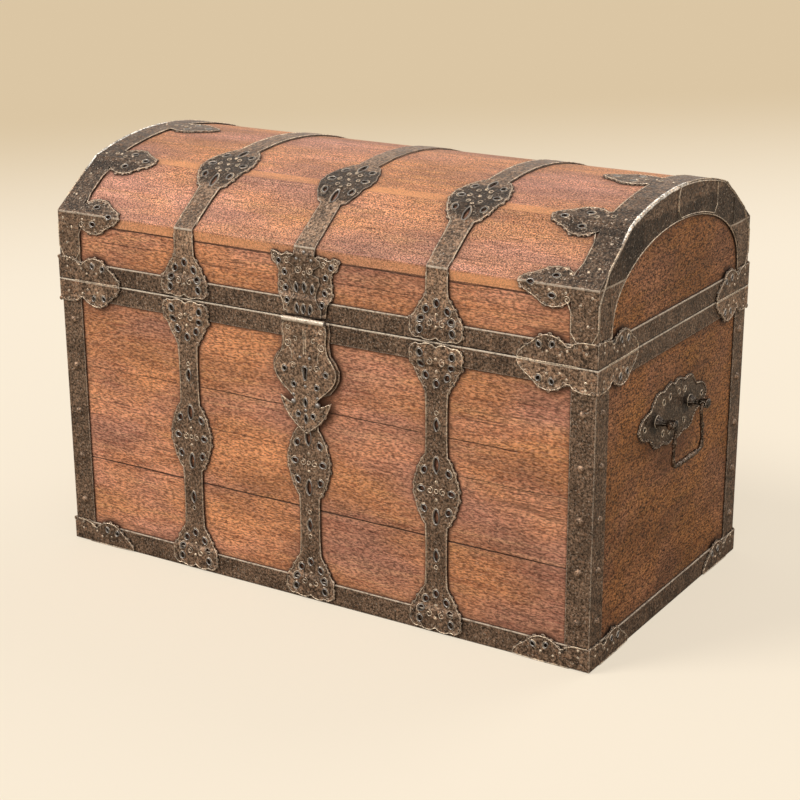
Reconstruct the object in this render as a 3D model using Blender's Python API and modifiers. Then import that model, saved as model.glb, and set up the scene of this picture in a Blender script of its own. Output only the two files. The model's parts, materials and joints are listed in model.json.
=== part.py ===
"""Iron-bound treasure chest, built from boards, bent iron plates, hinges, a hasp and a lock.

Sizes are in metres and +Z is up. +X runs along the front, which faces -Y.
The origin is the middle of the footprint, on the floor.
Iron lies on the boards in layers: hoops and irons in layer 1, straps and brackets over them in
layer 2, and the hasp and the urn of the middle strap in layer 3.
"""

import math

import bmesh
import bpy
from mathutils import Matrix, Vector

# Clearances
FIT = 0.0003
TONGUE_PLAY = 0.0008
MERGE = 0.00001
OVERRUN = 0.01
FLAT_ANGLE = math.radians(0.5)
FILL_ANGLE = math.radians(17)

# The box of boards
BOX_LENGTH = 1.0444
BOX_DEPTH = 0.569
PARTING_HEIGHT = 0.496
PARTING_GAP = 0.0004
WALL_BOARD = 0.022
BOTTOM_BOARD = 0.018
FRONT_SEAM_HEIGHT = 0.166
BOARD_CHAMFER = 0.0012

# The lid's section: a low wall, a flat slope and a crown
LID_WALL_HEIGHT = 0.1195
SLOPE_DEPTH = 0.1055
SLOPE_HEIGHT = 0.0777
CROWN_HEIGHT = 0.028
CROWN_STEPS = 8
LID_BOARD = 0.018
LID_RAIL_REBATE = 0.0175
SLOPE_SEAM_REACH = 0.060

# Iron plate, hoops and corner irons
IRON = 0.0025
STEP_RUN = 0.008
STEP_LEAD = 0.0005
HOOP_WIDTH = 0.033
SILL_WIDTH = 0.038
SILL_FLANGE = 0.040
CORNER_LEG = 0.043
RIVET_RADIUS = 0.0068
RIVET_HEIGHT = 0.0045
RIVET_SINK = 0.0006
RIVET_SETBACK = 0.0225
RIVET_END_SPACE = 0.041
RIVET_ROWS = 5
RIVET_SIDES = 8
RIVET_RINGS = 4

# Corner brackets
BRACKET_REACH = 0.135
BRACKET_HEIGHT = 0.044
BRACKET_LIFT = 0.0012
BRACKET_EYE_LENGTH = 0.011
BRACKET_EYE_WIDTH = 0.008

# Straps and their medallions
STRAP_WIDTH = 0.038
STRAP_SPACING = 0.2475
RIM_MEDALLION_LENGTH = 0.081
RIM_MEDALLION_WIDTH = 0.098
LID_MEDALLION_LENGTH = 0.074
MIDDLE_MEDALLION_LENGTH = 0.120
MIDDLE_MEDALLION_WIDTH = 0.086
SHOULDER_MEDALLION_LENGTH = 0.120
SHOULDER_MEDALLION_WIDTH = 0.098
SHOULDER_LEAD = 0.037
MEDALLION_EDGE = 0.0025
EYE_LENGTH = 0.013
EYE_WIDTH = 0.010
SLOT_LENGTH = 0.030
SLOT_WIDTH = 0.011
LENS_LENGTH = 0.024
LENS_WIDTH = 0.008

# Lid end irons
END_IRON_WIDTH = 0.046
END_IRON_FACE = 0.0022
WING_REACH = 0.091
WING_HALF_HEIGHT = 0.034
WING_EYE_LENGTH = 0.014
WING_EYE_WIDTH = 0.009
ARCH_SIDE_MARGIN = 0.0458
ARCH_CROWN_MARGIN = 0.055
ARCH_SPRING_LIFT = 0.0208
ARCH_STEPS = 12
LAP_RAISE = 0.0011
LAP_MARGIN = 0.0025
LAP_SETBACK = 0.0006
LAP_STEPS = 4

# Rear hinges
HINGE_RADIUS = 0.006
HINGE_PIN_RADIUS = 0.0028
HINGE_PIN_PLAY = 0.0003
HINGE_PIN_HEAD = 0.0048
HINGE_PIN_HEAD_LENGTH = 0.003
HINGE_CENTRE_WIDTH = 0.015
HINGE_LEAF_LENGTH = 0.250
HINGE_TAIL_LENGTH = 0.050
BARREL_SIDES = 12
PIN_SIDES = 8

# Hasp, lock plate and escutcheon
HASP_LENGTH = 0.194
HASP_WIDTH = 0.122
HASP_BARREL_WIDTH = 0.082
HASP_BARREL_RADIUS = 0.0045
HASP_CENTRE_WIDTH = 0.030
HASP_PIN_RADIUS = 0.002
HASP_PIN_HEAD = 0.0038
HASP_PIN_HEAD_LENGTH = 0.002
LOCK_PLATE_LENGTH = 0.129
LOCK_PLATE_WIDTH = 0.132
ESCUTCHEON_LIFT = 0.0078
ESCUTCHEON_TOP_MARGIN = 0.0115
ESCUTCHEON_WIDTH = 0.132
URN_WIDTH = 0.070
URN_SLOT_LENGTH = 0.017
URN_SLOT_WIDTH = 0.0055
PLATE_EYE_LENGTH = 0.009
PLATE_EYE_WIDTH = 0.008

# Keyhole, lock case, bolt and staple
KEYHOLE_DROP = 0.084
KEYHOLE_HEAD_RADIUS = 0.0045
KEYHOLE_SLOT_WIDTH = 0.0056
KEYHOLE_SLOT_LENGTH = 0.018
KEYHOLE_STEPS = 6
KEY_BORE_WIDTH = 0.014
KEY_BORE_HEIGHT = 0.030
CASE_LENGTH = 0.125
CASE_DROP = 0.026
CASE_HEIGHT = 0.095
CASE_DEPTH = 0.030
CASE_WALL = 0.0025
BOLT_LENGTH = 0.050
BOLT_WIDTH = 0.006
BOLT_HEIGHT = 0.010
BOLT_TRAVEL = 0.018
BOLT_DROP = 0.050
BOLT_SETBACK = 0.013
BOLT_PLAY = 0.0003
GUIDE_WIDTH = 0.006
GUIDE_HEIGHT = 0.018
GUIDE_REACH = 0.010
STAPLE_WIDTH = 0.008
STAPLE_DEPTH = 0.014
STAPLE_EYE_DEPTH = 0.008
STAPLE_EYE_HEIGHT = 0.013
STAPLE_BAR = 0.004
STAPLE_PLATE_WIDTH = 0.040
STAPLE_PLATE_HEIGHT = 0.060
STAPLE_PLATE_LIFT = 0.004
STAPLE_SHANK_HEIGHT = 0.026
STAPLE_PLAY = 0.003

# Handles
HANDLE_DROP = 0.147
HANDLE_PLATE_LENGTH = 0.264
HANDLE_PLATE_HEIGHT = 0.104
STUD_SPACING = 0.127
STUD_REACH = 0.027
STUD_RADIUS = 0.0085
STUD_SIDES = 8
BAIL_ROD = 0.0036
BAIL_HOLE_PLAY = 0.0006
BAIL_DROP = 0.076
BAIL_LEG = 0.049
BAIL_BOW = 0.056
BAIL_TIP_REACH = 0.079
BAIL_ELBOW = 0.005
GRIP_HALF_LENGTH = 0.040
GRIP_BEADS = 7
BAIL_TURN_STEPS = 2

# Outlines as shares: along from the strap to the free edge, and across from the middle
RIM_MEDALLION_SHARES = (
    (0.14, 0.52), (0.34, 0.74), (0.42, 0.77), (0.58, 0.98), (0.67, 0.95), (0.84, 1.0),
    (0.98, 0.80), (0.95, 0.58), (1.0, 0.40), (0.99, 0.14), (0.92, 0.0))
RIM_EYE_SHARES = ((0.20, 0.0, 0), (0.35, 0.40, 25), (0.57, 0.57, 50), (0.80, 0.60, 15))
MIDDLE_MEDALLION_SHARES = (
    (0.03, 0.56), (0.22, 0.83), (0.29, 0.86), (0.43, 1.0), (0.50, 0.96),
    (0.57, 1.0), (0.71, 0.86), (0.78, 0.83), (0.97, 0.56))
MIDDLE_EYE_SHARES = ((0.22, 0.52, -25), (0.50, 0.66, 90), (0.78, 0.52, 205))
MIDDLE_SLOT_SHARES = ((0.14, 180), (0.86, 0))
WING_SHARES = (
    (0.0, 0.62), (0.24, 1.0), (0.52, 0.96), (0.64, 0.68), (0.80, 0.46), (0.93, 0.30), (1.0, 0.0))
WING_EYE_SHARES = ((0.36, 0.50, 90),)
WING_TIP_EYE_SHARE = 0.76
BRACKET_SHARES = (
    (0.0, 0.88), (0.27, 0.88), (0.36, 0.58), (0.46, 0.86), (0.60, 1.0), (0.73, 0.90),
    (0.82, 0.62), (0.92, 0.42), (1.0, 0.12), (0.985, 0.0))
BRACKET_EYE_SHARES = ((0.56, 0.66, 20), (0.73, 0.60, -30))
HASP_SHARES = (
    (0.0, 0.0), (0.02, 0.09), (0.062, 0.28), (0.135, 0.54), (0.22, 0.71), (0.308, 0.83),
    (0.255, 0.54), (0.25, 0.33), (0.297, 0.33), (0.35, 0.51), (0.405, 0.72), (0.462, 0.89),
    (0.52, 0.985), (0.585, 1.0), (0.648, 0.89), (0.72, 0.71), (0.83, 0.665), (0.90, 0.71))
HASP_EYE_SHARES = ((0.548, 0.67, 15), (0.42, 0.365, -20), (0.16, 0.24, 25))
HASP_SLOT_SHARES = ((0.275, 0), (0.13, 0))
LOCK_PLATE_SHARES = (
    (0.0, 0.0), (0.04, 0.18), (0.015, 0.45), (0.07, 0.72), (0.17, 0.88), (0.27, 0.985),
    (0.39, 1.0), (0.495, 0.89), (0.58, 0.74), (0.74, 0.70), (0.865, 0.745), (1.0, 0.70))
ESCUTCHEON_SHARES = (
    (0.0, 0.62), (0.17, 0.64), (0.25, 0.70), (0.34, 0.80), (0.50, 0.79), (0.68, 0.76),
    (0.76, 0.80), (0.83, 0.96), (0.97, 1.0), (1.0, 0.88), (0.93, 0.73), (0.99, 0.52), (0.97, 0.29))
ESCUTCHEON_EYE_SHARES = ((0.20, 0.52, 0), (0.40, 0.58, 20), (0.66, 0.60, -20), (0.84, 0.78, 40))
URN_SHARES = (
    (0.02, 0.95), (0.14, 0.97), (0.25, 0.78), (0.34, 0.62), (0.42, 0.66), (0.57, 0.86),
    (0.66, 0.80), (0.72, 0.28), (0.79, 0.54), (0.86, 0.92), (0.93, 0.89), (0.99, 0.58))
URN_SLOT_SHARES = ((0.48, 0.0, 0), (0.46, 0.44, -6), (0.13, 0.0, 0), (0.13, 0.36, -8))
HANDLE_PLATE_SHARES = (
    (0.0, 0.86), (0.09, 1.0), (0.22, 0.94), (0.31, 0.82), (0.40, 0.90), (0.52, 0.85),
    (0.61, 0.62), (0.67, 0.45), (0.76, 0.42), (0.88, 0.34), (0.95, 0.20), (1.0, 0.0))
HANDLE_EYE_SHARES = ((0.13, 0.55, 30), (0.31, 0.50, -30))
HANDLE_TIP_EYE_SHARE = 0.84
TAIL_SHARES = ((0.0, 1.0), (0.30, 0.62), (0.45, 0.95), (0.72, 0.90), (1.0, 0.0))
EYE_OUTLINE_SHARES = ((0.0, -0.5), (0.5, -0.06), (0.30, 0.46), (-0.30, 0.46), (-0.5, -0.06))
KITE_OUTLINE_SHARES = ((0.0, -0.5), (0.5, 0.0), (0.0, 0.5), (-0.5, 0.0))
LENS_OUTLINE_SHARES = ((0.0, -0.5), (0.5, -0.12), (0.5, 0.12), (0.0, 0.5), (-0.5, 0.12), (-0.5, -0.12))
LAP_SHARES = ((-0.90, -0.62), (-0.06, 0.48), (0.75, 0.90))
STUD_SHARES = (
    (1.0, 0.0), (0.90, 0.66), (0.62, 1.0), (-0.10, 1.0), (-0.36, 0.62), (-0.62, 0.70),
    (-0.80, 1.15), (-1.0, 1.35))
BEAD_SHARES = ((0.0, 1.15), (0.25, 1.9), (0.75, 1.9))
BAIL_FOOT_SHARES = ((-3.2, 0.0, 1.1), (-1.0, 0.35, 1.3), (0.0, 1.4, 1.5))
BAIL_SIDE_SHARES = ((0.2, 0.72, 1.0), (-0.1, 0.55, 1.0), (-0.25, 0.46, 1.5), (-0.5, 0.36, 1.0))
BAIL_NECK_SHARE = 3.0
BAIL_KNOB_SHARE = 1.75
KEY_BORE_DROP_SHARE = 0.667

# Finishes: colour, roughness, metallic
DARK_IRON = ((0.105, 0.090, 0.078), 0.48, 0.85)
WORN_IRON = ((0.150, 0.125, 0.108), 0.42, 0.85)
BRIGHT_IRON = ((0.330, 0.300, 0.270), 0.35, 0.90)
RED_BOARD = ((0.430, 0.165, 0.078), 0.62, 0.0)
DARK_BOARD = ((0.200, 0.088, 0.042), 0.68, 0.0)
PALE_BOARD = ((0.560, 0.240, 0.125), 0.60, 0.0)
INNER_BOARD = ((0.330, 0.190, 0.110), 0.75, 0.0)

# Places worked out from the sizes above
HALF_LENGTH = BOX_LENGTH / 2
HALF_DEPTH = BOX_DEPTH / 2
BASE_TOP = PARTING_HEIGHT - PARTING_GAP / 2
LID_BOTTOM = PARTING_HEIGHT + PARTING_GAP / 2
BASE_HOOP_BOTTOM = BASE_TOP - HOOP_WIDTH
LID_HOOP_TOP = LID_BOTTOM + HOOP_WIDTH
WOOD_BOTTOM = IRON + FIT
RAIL_INNER = HALF_DEPTH - WALL_BOARD
SLOPE_START_HEIGHT = PARTING_HEIGHT + LID_WALL_HEIGHT
CROWN_START_HEIGHT = SLOPE_START_HEIGHT + SLOPE_HEIGHT
RIDGE_HEIGHT = CROWN_START_HEIGHT + CROWN_HEIGHT
CROWN_HALF_WIDTH = HALF_DEPTH - SLOPE_DEPTH
LID_RAIL_HEIGHT = SLOPE_START_HEIGHT - LID_RAIL_REBATE
ARCH_HALF_WIDTH = HALF_DEPTH + IRON - ARCH_SIDE_MARGIN
ARCH_SPRING_HEIGHT = LID_HOOP_TOP + ARCH_SPRING_LIFT
ARCH_RISE = RIDGE_HEIGHT + IRON - ARCH_CROWN_MARGIN - ARCH_SPRING_HEIGHT
ESCUTCHEON_BOTTOM = LID_BOTTOM + ESCUTCHEON_LIFT
ESCUTCHEON_TOP = SLOPE_START_HEIGHT - ESCUTCHEON_TOP_MARGIN
KEYHOLE_HEIGHT = PARTING_HEIGHT - KEYHOLE_DROP
HANDLE_HEIGHT = PARTING_HEIGHT - HANDLE_DROP
CASE_TOP = PARTING_HEIGHT - CASE_DROP
CASE_BOTTOM = CASE_TOP - CASE_HEIGHT
BOLT_CENTRE_HEIGHT = PARTING_HEIGHT - BOLT_DROP
FOOT_MEDALLION_TOP = MEDALLION_EDGE + RIM_MEDALLION_LENGTH
RIM_MEDALLION_BOTTOM = BASE_TOP - MEDALLION_EDGE - RIM_MEDALLION_LENGTH
MIDDLE_MEDALLION_HEIGHT = (FOOT_MEDALLION_TOP + RIM_MEDALLION_BOTTOM) / 2
LOWER_LENS_HEIGHT = (FOOT_MEDALLION_TOP + MIDDLE_MEDALLION_HEIGHT - MIDDLE_MEDALLION_LENGTH / 2) / 2
UPPER_LENS_HEIGHT = (RIM_MEDALLION_BOTTOM + MIDDLE_MEDALLION_HEIGHT + MIDDLE_MEDALLION_LENGTH / 2) / 2


def layer(number):
    """Distance from the boards to the inner face of an iron layer."""
    return FIT + (number - 1) * (IRON + FIT)


BARREL_FLAT_SHARE = math.cos(math.pi / BARREL_SIDES)
HINGE_AXIS_Y = HALF_DEPTH + layer(2) + HINGE_RADIUS * BARREL_FLAT_SHARE - FIT / 3
HASP_AXIS_Y = -(HALF_DEPTH + layer(3) + HASP_BARREL_RADIUS * BARREL_FLAT_SHARE - FIT / 3)
HINGE_HOLE_RADIUS = HINGE_PIN_RADIUS + HINGE_PIN_PLAY
HASP_HOLE_RADIUS = HASP_PIN_RADIUS + HINGE_PIN_PLAY
HANDLE_PLATE_FACE = HALF_LENGTH + layer(1) + IRON
PIVOT_X = HANDLE_PLATE_FACE + STUD_REACH
BOLT_Y = -RAIL_INNER + BOLT_SETBACK
BOLT_START = STAPLE_WIDTH / 2 + STAPLE_PLAY + BOLT_PLAY


def collection(name):
    """A new collection in the scene."""
    made = bpy.data.collections.new(name)
    bpy.context.scene.collection.children.link(made)
    return made


for old in list(bpy.data.objects):
    bpy.data.objects.remove(old, do_unlink=True)

PARTS = collection("treasure_chest")
TOOLS = collection("cutters")


# Paths in a plane, as lists of points, with the outside on their left
def mitres_of(points):
    """For each point of a path, the step outwards that keeps its stretches parallel."""
    normals = []
    for before, after in zip(points, points[1:]):
        run = (Vector(after) - Vector(before)).normalized()
        normals.append(Vector((-run.y, run.x)))
    mitres = [normals[0]]
    for before, after in zip(normals, normals[1:]):
        mitres.append((before + after) / (1 + before.dot(after)))
    mitres.append(normals[-1])
    return mitres


def offset_path(points, distance):
    """The path moved outwards by a distance."""
    return [tuple(Vector(point) + mitre * distance) for point, mitre in zip(points, mitres_of(points))]


def stations_of(points):
    """Distance along the path at each of its points."""
    stations = [0.0]
    for before, after in zip(points, points[1:]):
        stations.append(stations[-1] + (Vector(after) - Vector(before)).length)
    return stations


def station_at(points, height):
    """Distance along a rising path at which it first reaches a height."""
    stations = stations_of(points)
    for index, (before, after) in enumerate(zip(points, points[1:])):
        if before[1] <= height <= after[1]:
            share = (height - before[1]) / (after[1] - before[1])
            return stations[index] + share * (stations[index + 1] - stations[index])
    return stations[-1]


def height_on(start, end, place):
    """Height of the line through two points at a place across."""
    return start[1] + (end[1] - start[1]) * (place - start[0]) / (end[0] - start[0])


def lid_section(distance):
    """The lid's outer profile, from the front's foot over the ridge to the back's, moved outwards."""
    radius = (CROWN_HALF_WIDTH ** 2 + CROWN_HEIGHT ** 2) / (2 * CROWN_HEIGHT)
    reach = math.asin(CROWN_HALF_WIDTH / radius)
    points = [(-HALF_DEPTH, LID_BOTTOM), (-HALF_DEPTH, SLOPE_START_HEIGHT)]
    for step in range(CROWN_STEPS + 1):
        angle = reach * (2 * step / CROWN_STEPS - 1)
        points.append((radius * math.sin(angle), RIDGE_HEIGHT - radius + radius * math.cos(angle)))
    points += [(HALF_DEPTH, SLOPE_START_HEIGHT), (HALF_DEPTH, LID_BOTTOM)]
    return offset_path(points, distance)


def crown_of(section):
    """The points of a lid section that lie on the crown."""
    return section[2:-2]


# Flat plates, bent along paths
def flat_plate(outline, holes, thickness):
    """A flat plate with holes, as a bmesh between zero and its thickness along Z.

    The outline is turned while it is filled, so that no two of its points lie level.
    """
    curve = bpy.data.curves.new("outline", "CURVE")
    curve.dimensions = "2D"
    curve.fill_mode = "BOTH"
    curve.extrude = thickness / 2
    spin = Matrix.Rotation(FILL_ANGLE, 2)
    for ring in [outline] + list(holes):
        spline = curve.splines.new("POLY")
        spline.points.add(len(ring) - 1)
        for point, place in zip(spline.points, ring):
            point.co = (*(spin @ Vector(place)), 0.0, 1.0)
        spline.use_cyclic_u = True
    holder = bpy.data.objects.new("outline", curve)
    bpy.context.scene.collection.objects.link(holder)
    seen = holder.evaluated_get(bpy.context.evaluated_depsgraph_get())
    mesh = bpy.data.meshes.new_from_object(seen)
    flat = bmesh.new()
    flat.from_mesh(mesh)
    bmesh.ops.remove_doubles(flat, verts=flat.verts, dist=MERGE)
    place = Matrix.Translation((0.0, 0.0, thickness / 2)) @ Matrix.Rotation(-FILL_ANGLE, 4, "Z")
    bmesh.ops.transform(flat, matrix=place, verts=flat.verts)
    bpy.data.objects.remove(holder)
    bpy.data.curves.remove(curve)
    bpy.data.meshes.remove(mesh)
    return flat


def side_view(across, point):
    """A path in the YZ plane, with X across it."""
    return Vector((across, point.x, point.y))


def plan_view(across, point):
    """A path in the XY plane, with Z across it."""
    return Vector((point.x, point.y, across))


def bend(flat, path, view):
    """Bend a plate along a path: Y follows the path and Z is the height above it."""
    stations = stations_of(path)
    lowest = min(vert.co.y for vert in flat.verts)
    highest = max(vert.co.y for vert in flat.verts)
    for station in stations[1:-1]:
        if lowest + MERGE < station < highest - MERGE:
            everything = flat.verts[:] + flat.edges[:] + flat.faces[:]
            bmesh.ops.bisect_plane(flat, geom=everything, dist=MERGE,
                                   plane_co=(0.0, station, 0.0), plane_no=(0.0, 1.0, 0.0))
    mitres = mitres_of(path)
    for vert in flat.verts:
        across, along, height = vert.co
        index = 0
        while index < len(path) - 2 and along > stations[index + 1]:
            index += 1
        share = (along - stations[index]) / (stations[index + 1] - stations[index])
        foot = Vector(path[index]).lerp(Vector(path[index + 1]), share)
        lift = mitres[index].lerp(mitres[index + 1], share) * height
        vert.co = view(across, foot + lift)
    flat.normal_update()
    bmesh.ops.dissolve_limit(flat, angle_limit=FLAT_ANGLE, verts=flat.verts, edges=flat.edges)
    return flat


def mirrored(side):
    """A closed outline from its right-hand side; points in the middle are used once."""
    return list(side) + [(-across, along) for across, along in reversed(side) if across > MERGE]


def shaped(shares, start, length, half_width):
    """Points (across, along) from a table of shares along and across."""
    return [(half_width * across, start + length * along) for along, across in shares]


def eye(across, along, length, width, turn, table=EYE_OUTLINE_SHARES):
    """A small pointed hole, turned by an angle in degrees."""
    spin = Matrix.Rotation(math.radians(turn), 2)
    ring = []
    for side, rise in table:
        point = spin @ Vector((side * width, rise * length))
        ring.append((across + point.x, along + point.y))
    return ring


def eye_pairs(table, start, length, half_width, eye_length, eye_width):
    """Holes from a table of shares along and across, with the same on the other side."""
    rings = []
    for along, across, turn in table:
        place = start + length * along
        rings.append(eye(half_width * across, place, eye_length, eye_width, turn))
        if across > 0:
            rings.append(eye(-half_width * across, place, eye_length, eye_width, -turn))
    return rings


# Objects
def material(name, finish):
    """A Principled material for one part."""
    colour, roughness, metallic = finish
    made = bpy.data.materials.new(name)
    made.use_nodes = True
    shader = made.node_tree.nodes["Principled BSDF"]
    shader.inputs["Base Color"].default_value = (*colour, 1.0)
    shader.inputs["Roughness"].default_value = roughness
    shader.inputs["Metallic"].default_value = metallic
    made.diffuse_color = (*colour, 1.0)
    return made


def add_part(name, shape, finish, location=(0.0, 0.0, 0.0)):
    """A part of the chest from a bmesh, which is freed."""
    shape.normal_update()
    bmesh.ops.recalc_face_normals(shape, faces=shape.faces)
    mesh = bpy.data.meshes.new(name)
    shape.to_mesh(mesh)
    shape.free()
    part = bpy.data.objects.new(name, mesh)
    part.location = location
    PARTS.objects.link(part)
    mesh.materials.append(material(name, finish))
    return part


def add_tool(name, shape, location=(0.0, 0.0, 0.0)):
    """A hidden shape that cuts a part or is joined to it."""
    shape.normal_update()
    bmesh.ops.recalc_face_normals(shape, faces=shape.faces)
    mesh = bpy.data.meshes.new(name)
    shape.to_mesh(mesh)
    shape.free()
    tool = bpy.data.objects.new(name, mesh)
    tool.location = location
    return hide(tool)


def hide(tool):
    """Mark an object as a cutter."""
    TOOLS.objects.link(tool)
    tool.hide_render = True
    tool.display_type = "WIRE"
    return tool


def combine(part, tool, operation):
    """Join a tool to a part, or cut it out of the part."""
    modifier = part.modifiers.new(tool.name, "BOOLEAN")
    modifier.object = tool
    modifier.operation = operation
    modifier.solver = "EXACT"


def box(low, high):
    """A bmesh box between two corners."""
    low, high = Vector(low), Vector(high)
    shape = bmesh.new()
    place = Matrix.Translation((low + high) / 2) @ Matrix.Diagonal((*(high - low), 1.0))
    bmesh.ops.create_cube(shape, size=1.0, matrix=place)
    return shape


def boxes(pairs):
    """Several separate boxes in one bmesh."""
    shape = bmesh.new()
    for low, high in pairs:
        low, high = Vector(low), Vector(high)
        place = Matrix.Translation((low + high) / 2) @ Matrix.Diagonal((*(high - low), 1.0))
        bmesh.ops.create_cube(shape, size=1.0, matrix=place)
    return shape


def board(name, low, high, finish):
    """A board between two corners, with chamfered edges and its origin in its middle."""
    middle = (Vector(low) + Vector(high)) / 2
    part = add_part(name, box(Vector(low) - middle, Vector(high) - middle), finish, middle)
    chamfer = part.modifiers.new("chamfer", "BEVEL")
    chamfer.width = BOARD_CHAMFER
    chamfer.segments = 1
    return part


def lengthwise(outline, length):
    """A prism along X, centred, from an outline in the YZ plane."""
    shape = flat_plate(outline, (), length)
    for vert in shape.verts:
        across, along, height = vert.co
        vert.co = (height - length / 2, across, along)
    return shape


def barrel(spans, radius, axis_y, sides=BARREL_SIDES):
    """Cylinders along X over spans of X, on an axis at the parting, with a flat facing the boards."""
    shape = bmesh.new()
    for start, end in spans:
        turn = Matrix.Rotation(math.pi / 2, 4, "Y") @ Matrix.Rotation(math.pi / sides, 4, "Z")
        place = Matrix.Translation(((start + end) / 2, axis_y, PARTING_HEIGHT)) @ turn
        bmesh.ops.create_cone(shape, cap_ends=True, segments=sides, radius1=radius,
                              radius2=radius, depth=end - start, matrix=place)
    return shape


def turned(name, profile, steps, finish=None):
    """A turned shape about its own Z axis, from a profile of radius and height, top to bottom."""
    mesh = bpy.data.meshes.new(name)
    edges = [(index, index + 1) for index in range(len(profile) - 1)]
    mesh.from_pydata([(radius, 0.0, height) for radius, height in profile], edges, [])
    part = bpy.data.objects.new(name, mesh)
    screw = part.modifiers.new("turn", "SCREW")
    screw.steps = steps
    screw.render_steps = steps
    screw.use_merge_vertices = True
    screw.merge_threshold = MERGE
    screw.use_smooth_shade = True
    if finish:
        PARTS.objects.link(part)
        mesh.materials.append(material(name, finish))
        return part
    return hide(part)


# Boards
def build_base_boards():
    """Front in two boards, back, ends and bottom."""
    wall = HALF_DEPTH - WALL_BOARD
    lower = board("base_front_board_lower", (-HALF_LENGTH, -HALF_DEPTH, WOOD_BOTTOM),
                  (HALF_LENGTH, -wall, FRONT_SEAM_HEIGHT - FIT / 2), RED_BOARD)
    upper = board("base_front_board_upper", (-HALF_LENGTH, -HALF_DEPTH, FRONT_SEAM_HEIGHT + FIT / 2),
                  (HALF_LENGTH, -wall, BASE_TOP), RED_BOARD)
    board("base_back_panel", (-HALF_LENGTH, wall, WOOD_BOTTOM), (HALF_LENGTH, HALF_DEPTH, BASE_TOP),
          DARK_BOARD)
    inner = HALF_LENGTH - WALL_BOARD
    board("base_end_panel_right", (inner, -wall + FIT, WOOD_BOTTOM),
          (HALF_LENGTH, wall - FIT, BASE_TOP), DARK_BOARD)
    board("base_end_panel_left", (-HALF_LENGTH, -wall + FIT, WOOD_BOTTOM),
          (-inner, wall - FIT, BASE_TOP), DARK_BOARD)
    board("base_bottom_board", (-inner + FIT, -wall + FIT, WOOD_BOTTOM),
          (inner - FIT, wall - FIT, WOOD_BOTTOM + BOTTOM_BOARD), INNER_BOARD)
    bore_bottom = KEYHOLE_HEIGHT - KEY_BORE_HEIGHT * KEY_BORE_DROP_SHARE
    bore_low = (-KEY_BORE_WIDTH / 2, -HALF_DEPTH - OVERRUN, bore_bottom)
    bore_high = (KEY_BORE_WIDTH / 2, -wall + OVERRUN, bore_bottom + KEY_BORE_HEIGHT)
    combine(upper, add_tool("key_bore", box(bore_low, bore_high)), "DIFFERENCE")
    return lower, upper


def build_lid_boards():
    """Rails, slope boards, crown boards and ends, all below one outer profile."""
    names = []
    outer = lid_section(0.0)
    inner = lid_section(-LID_BOARD)
    rail = HALF_DEPTH - WALL_BOARD
    for name, side, finish in (("lid_front_rail", -1, RED_BOARD), ("lid_back_rail", 1, DARK_BOARD)):
        places = sorted((side * HALF_DEPTH, side * rail))
        names.append(board(name, (-HALF_LENGTH, places[0], LID_BOTTOM),
                           (HALF_LENGTH, places[1], LID_RAIL_HEIGHT), finish))

    start, top = Vector(outer[1]), Vector(crown_of(outer)[0])
    run = (top - start).normalized()
    down = Vector((run.y, -run.x)) * LID_BOARD
    seam = start + run * SLOPE_SEAM_REACH
    half_gap = run * FIT / 2
    foot_height = LID_RAIL_HEIGHT + FIT
    inner_foot = (-rail, height_on(inner[1], crown_of(inner)[0], -rail))
    foot = [(-HALF_DEPTH, foot_height), tuple(start)]
    heel = [inner_foot, (-rail, foot_height)]
    head = [tuple(top - half_gap), tuple(Vector(crown_of(inner)[0]) - half_gap)]
    lower = foot + [tuple(seam - half_gap), tuple(seam - half_gap + down)] + heel
    upper = [tuple(seam + half_gap), *head, tuple(seam + half_gap + down)]
    whole = [(-across, along) for across, along in foot + head + heel]

    def crown(first, last):
        """A crown board between two points of the profile, with half a gap at each edge."""
        top_side = [Vector(point) for point in crown_of(outer)[first:last + 1]]
        under_side = [Vector(point) for point in crown_of(inner)[first:last + 1]]
        lead = (top_side[1] - top_side[0]).normalized() * FIT / 2
        tail = (top_side[-1] - top_side[-2]).normalized() * FIT / 2
        for line in (top_side, under_side):
            line[0] = line[0] + lead
            line[-1] = line[-1] - tail
        return [tuple(point) for point in top_side + under_side[::-1]]

    for name, outline, finish in (
            ("lid_slope_board_front_lower", lower, PALE_BOARD),
            ("lid_slope_board_front_upper", upper, PALE_BOARD),
            ("lid_crown_board_front", crown(0, CROWN_STEPS // 2), PALE_BOARD),
            ("lid_crown_board_back", crown(CROWN_STEPS // 2, CROWN_STEPS), PALE_BOARD),
            ("lid_slope_board_back", whole, PALE_BOARD)):
        names.append(add_part(name, lengthwise(outline, BOX_LENGTH), finish))

    under = lid_section(-LID_BOARD - FIT)
    edge = rail - FIT
    shoulder = height_on(under[1], crown_of(under)[0], -edge)
    outline = [(-edge, LID_BOTTOM), (-edge, shoulder)] + crown_of(under)
    outline += [(edge, shoulder), (edge, LID_BOTTOM)]
    for name, side in (("lid_end_board_left", -1), ("lid_end_board_right", 1)):
        middle = side * (HALF_LENGTH - WALL_BOARD / 2)
        names.append(add_part(name, lengthwise(outline, WALL_BOARD), DARK_BOARD, (middle, 0.0, 0.0)))
    return names


# Hoops and irons
def hoop(name, bottom, height):
    """A band round the four walls in layer 1."""
    inner = (HALF_LENGTH + layer(1), HALF_DEPTH + layer(1))
    shape = box((-inner[0] - IRON, -inner[1] - IRON, bottom), (inner[0] + IRON, inner[1] + IRON, bottom + height))
    part = add_part(name, shape, DARK_IRON)
    hollow = box((-inner[0], -inner[1], bottom - OVERRUN), (inner[0], inner[1], bottom + height + OVERRUN))
    combine(part, add_tool(name + "_hollow", hollow), "DIFFERENCE")
    return part


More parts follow.
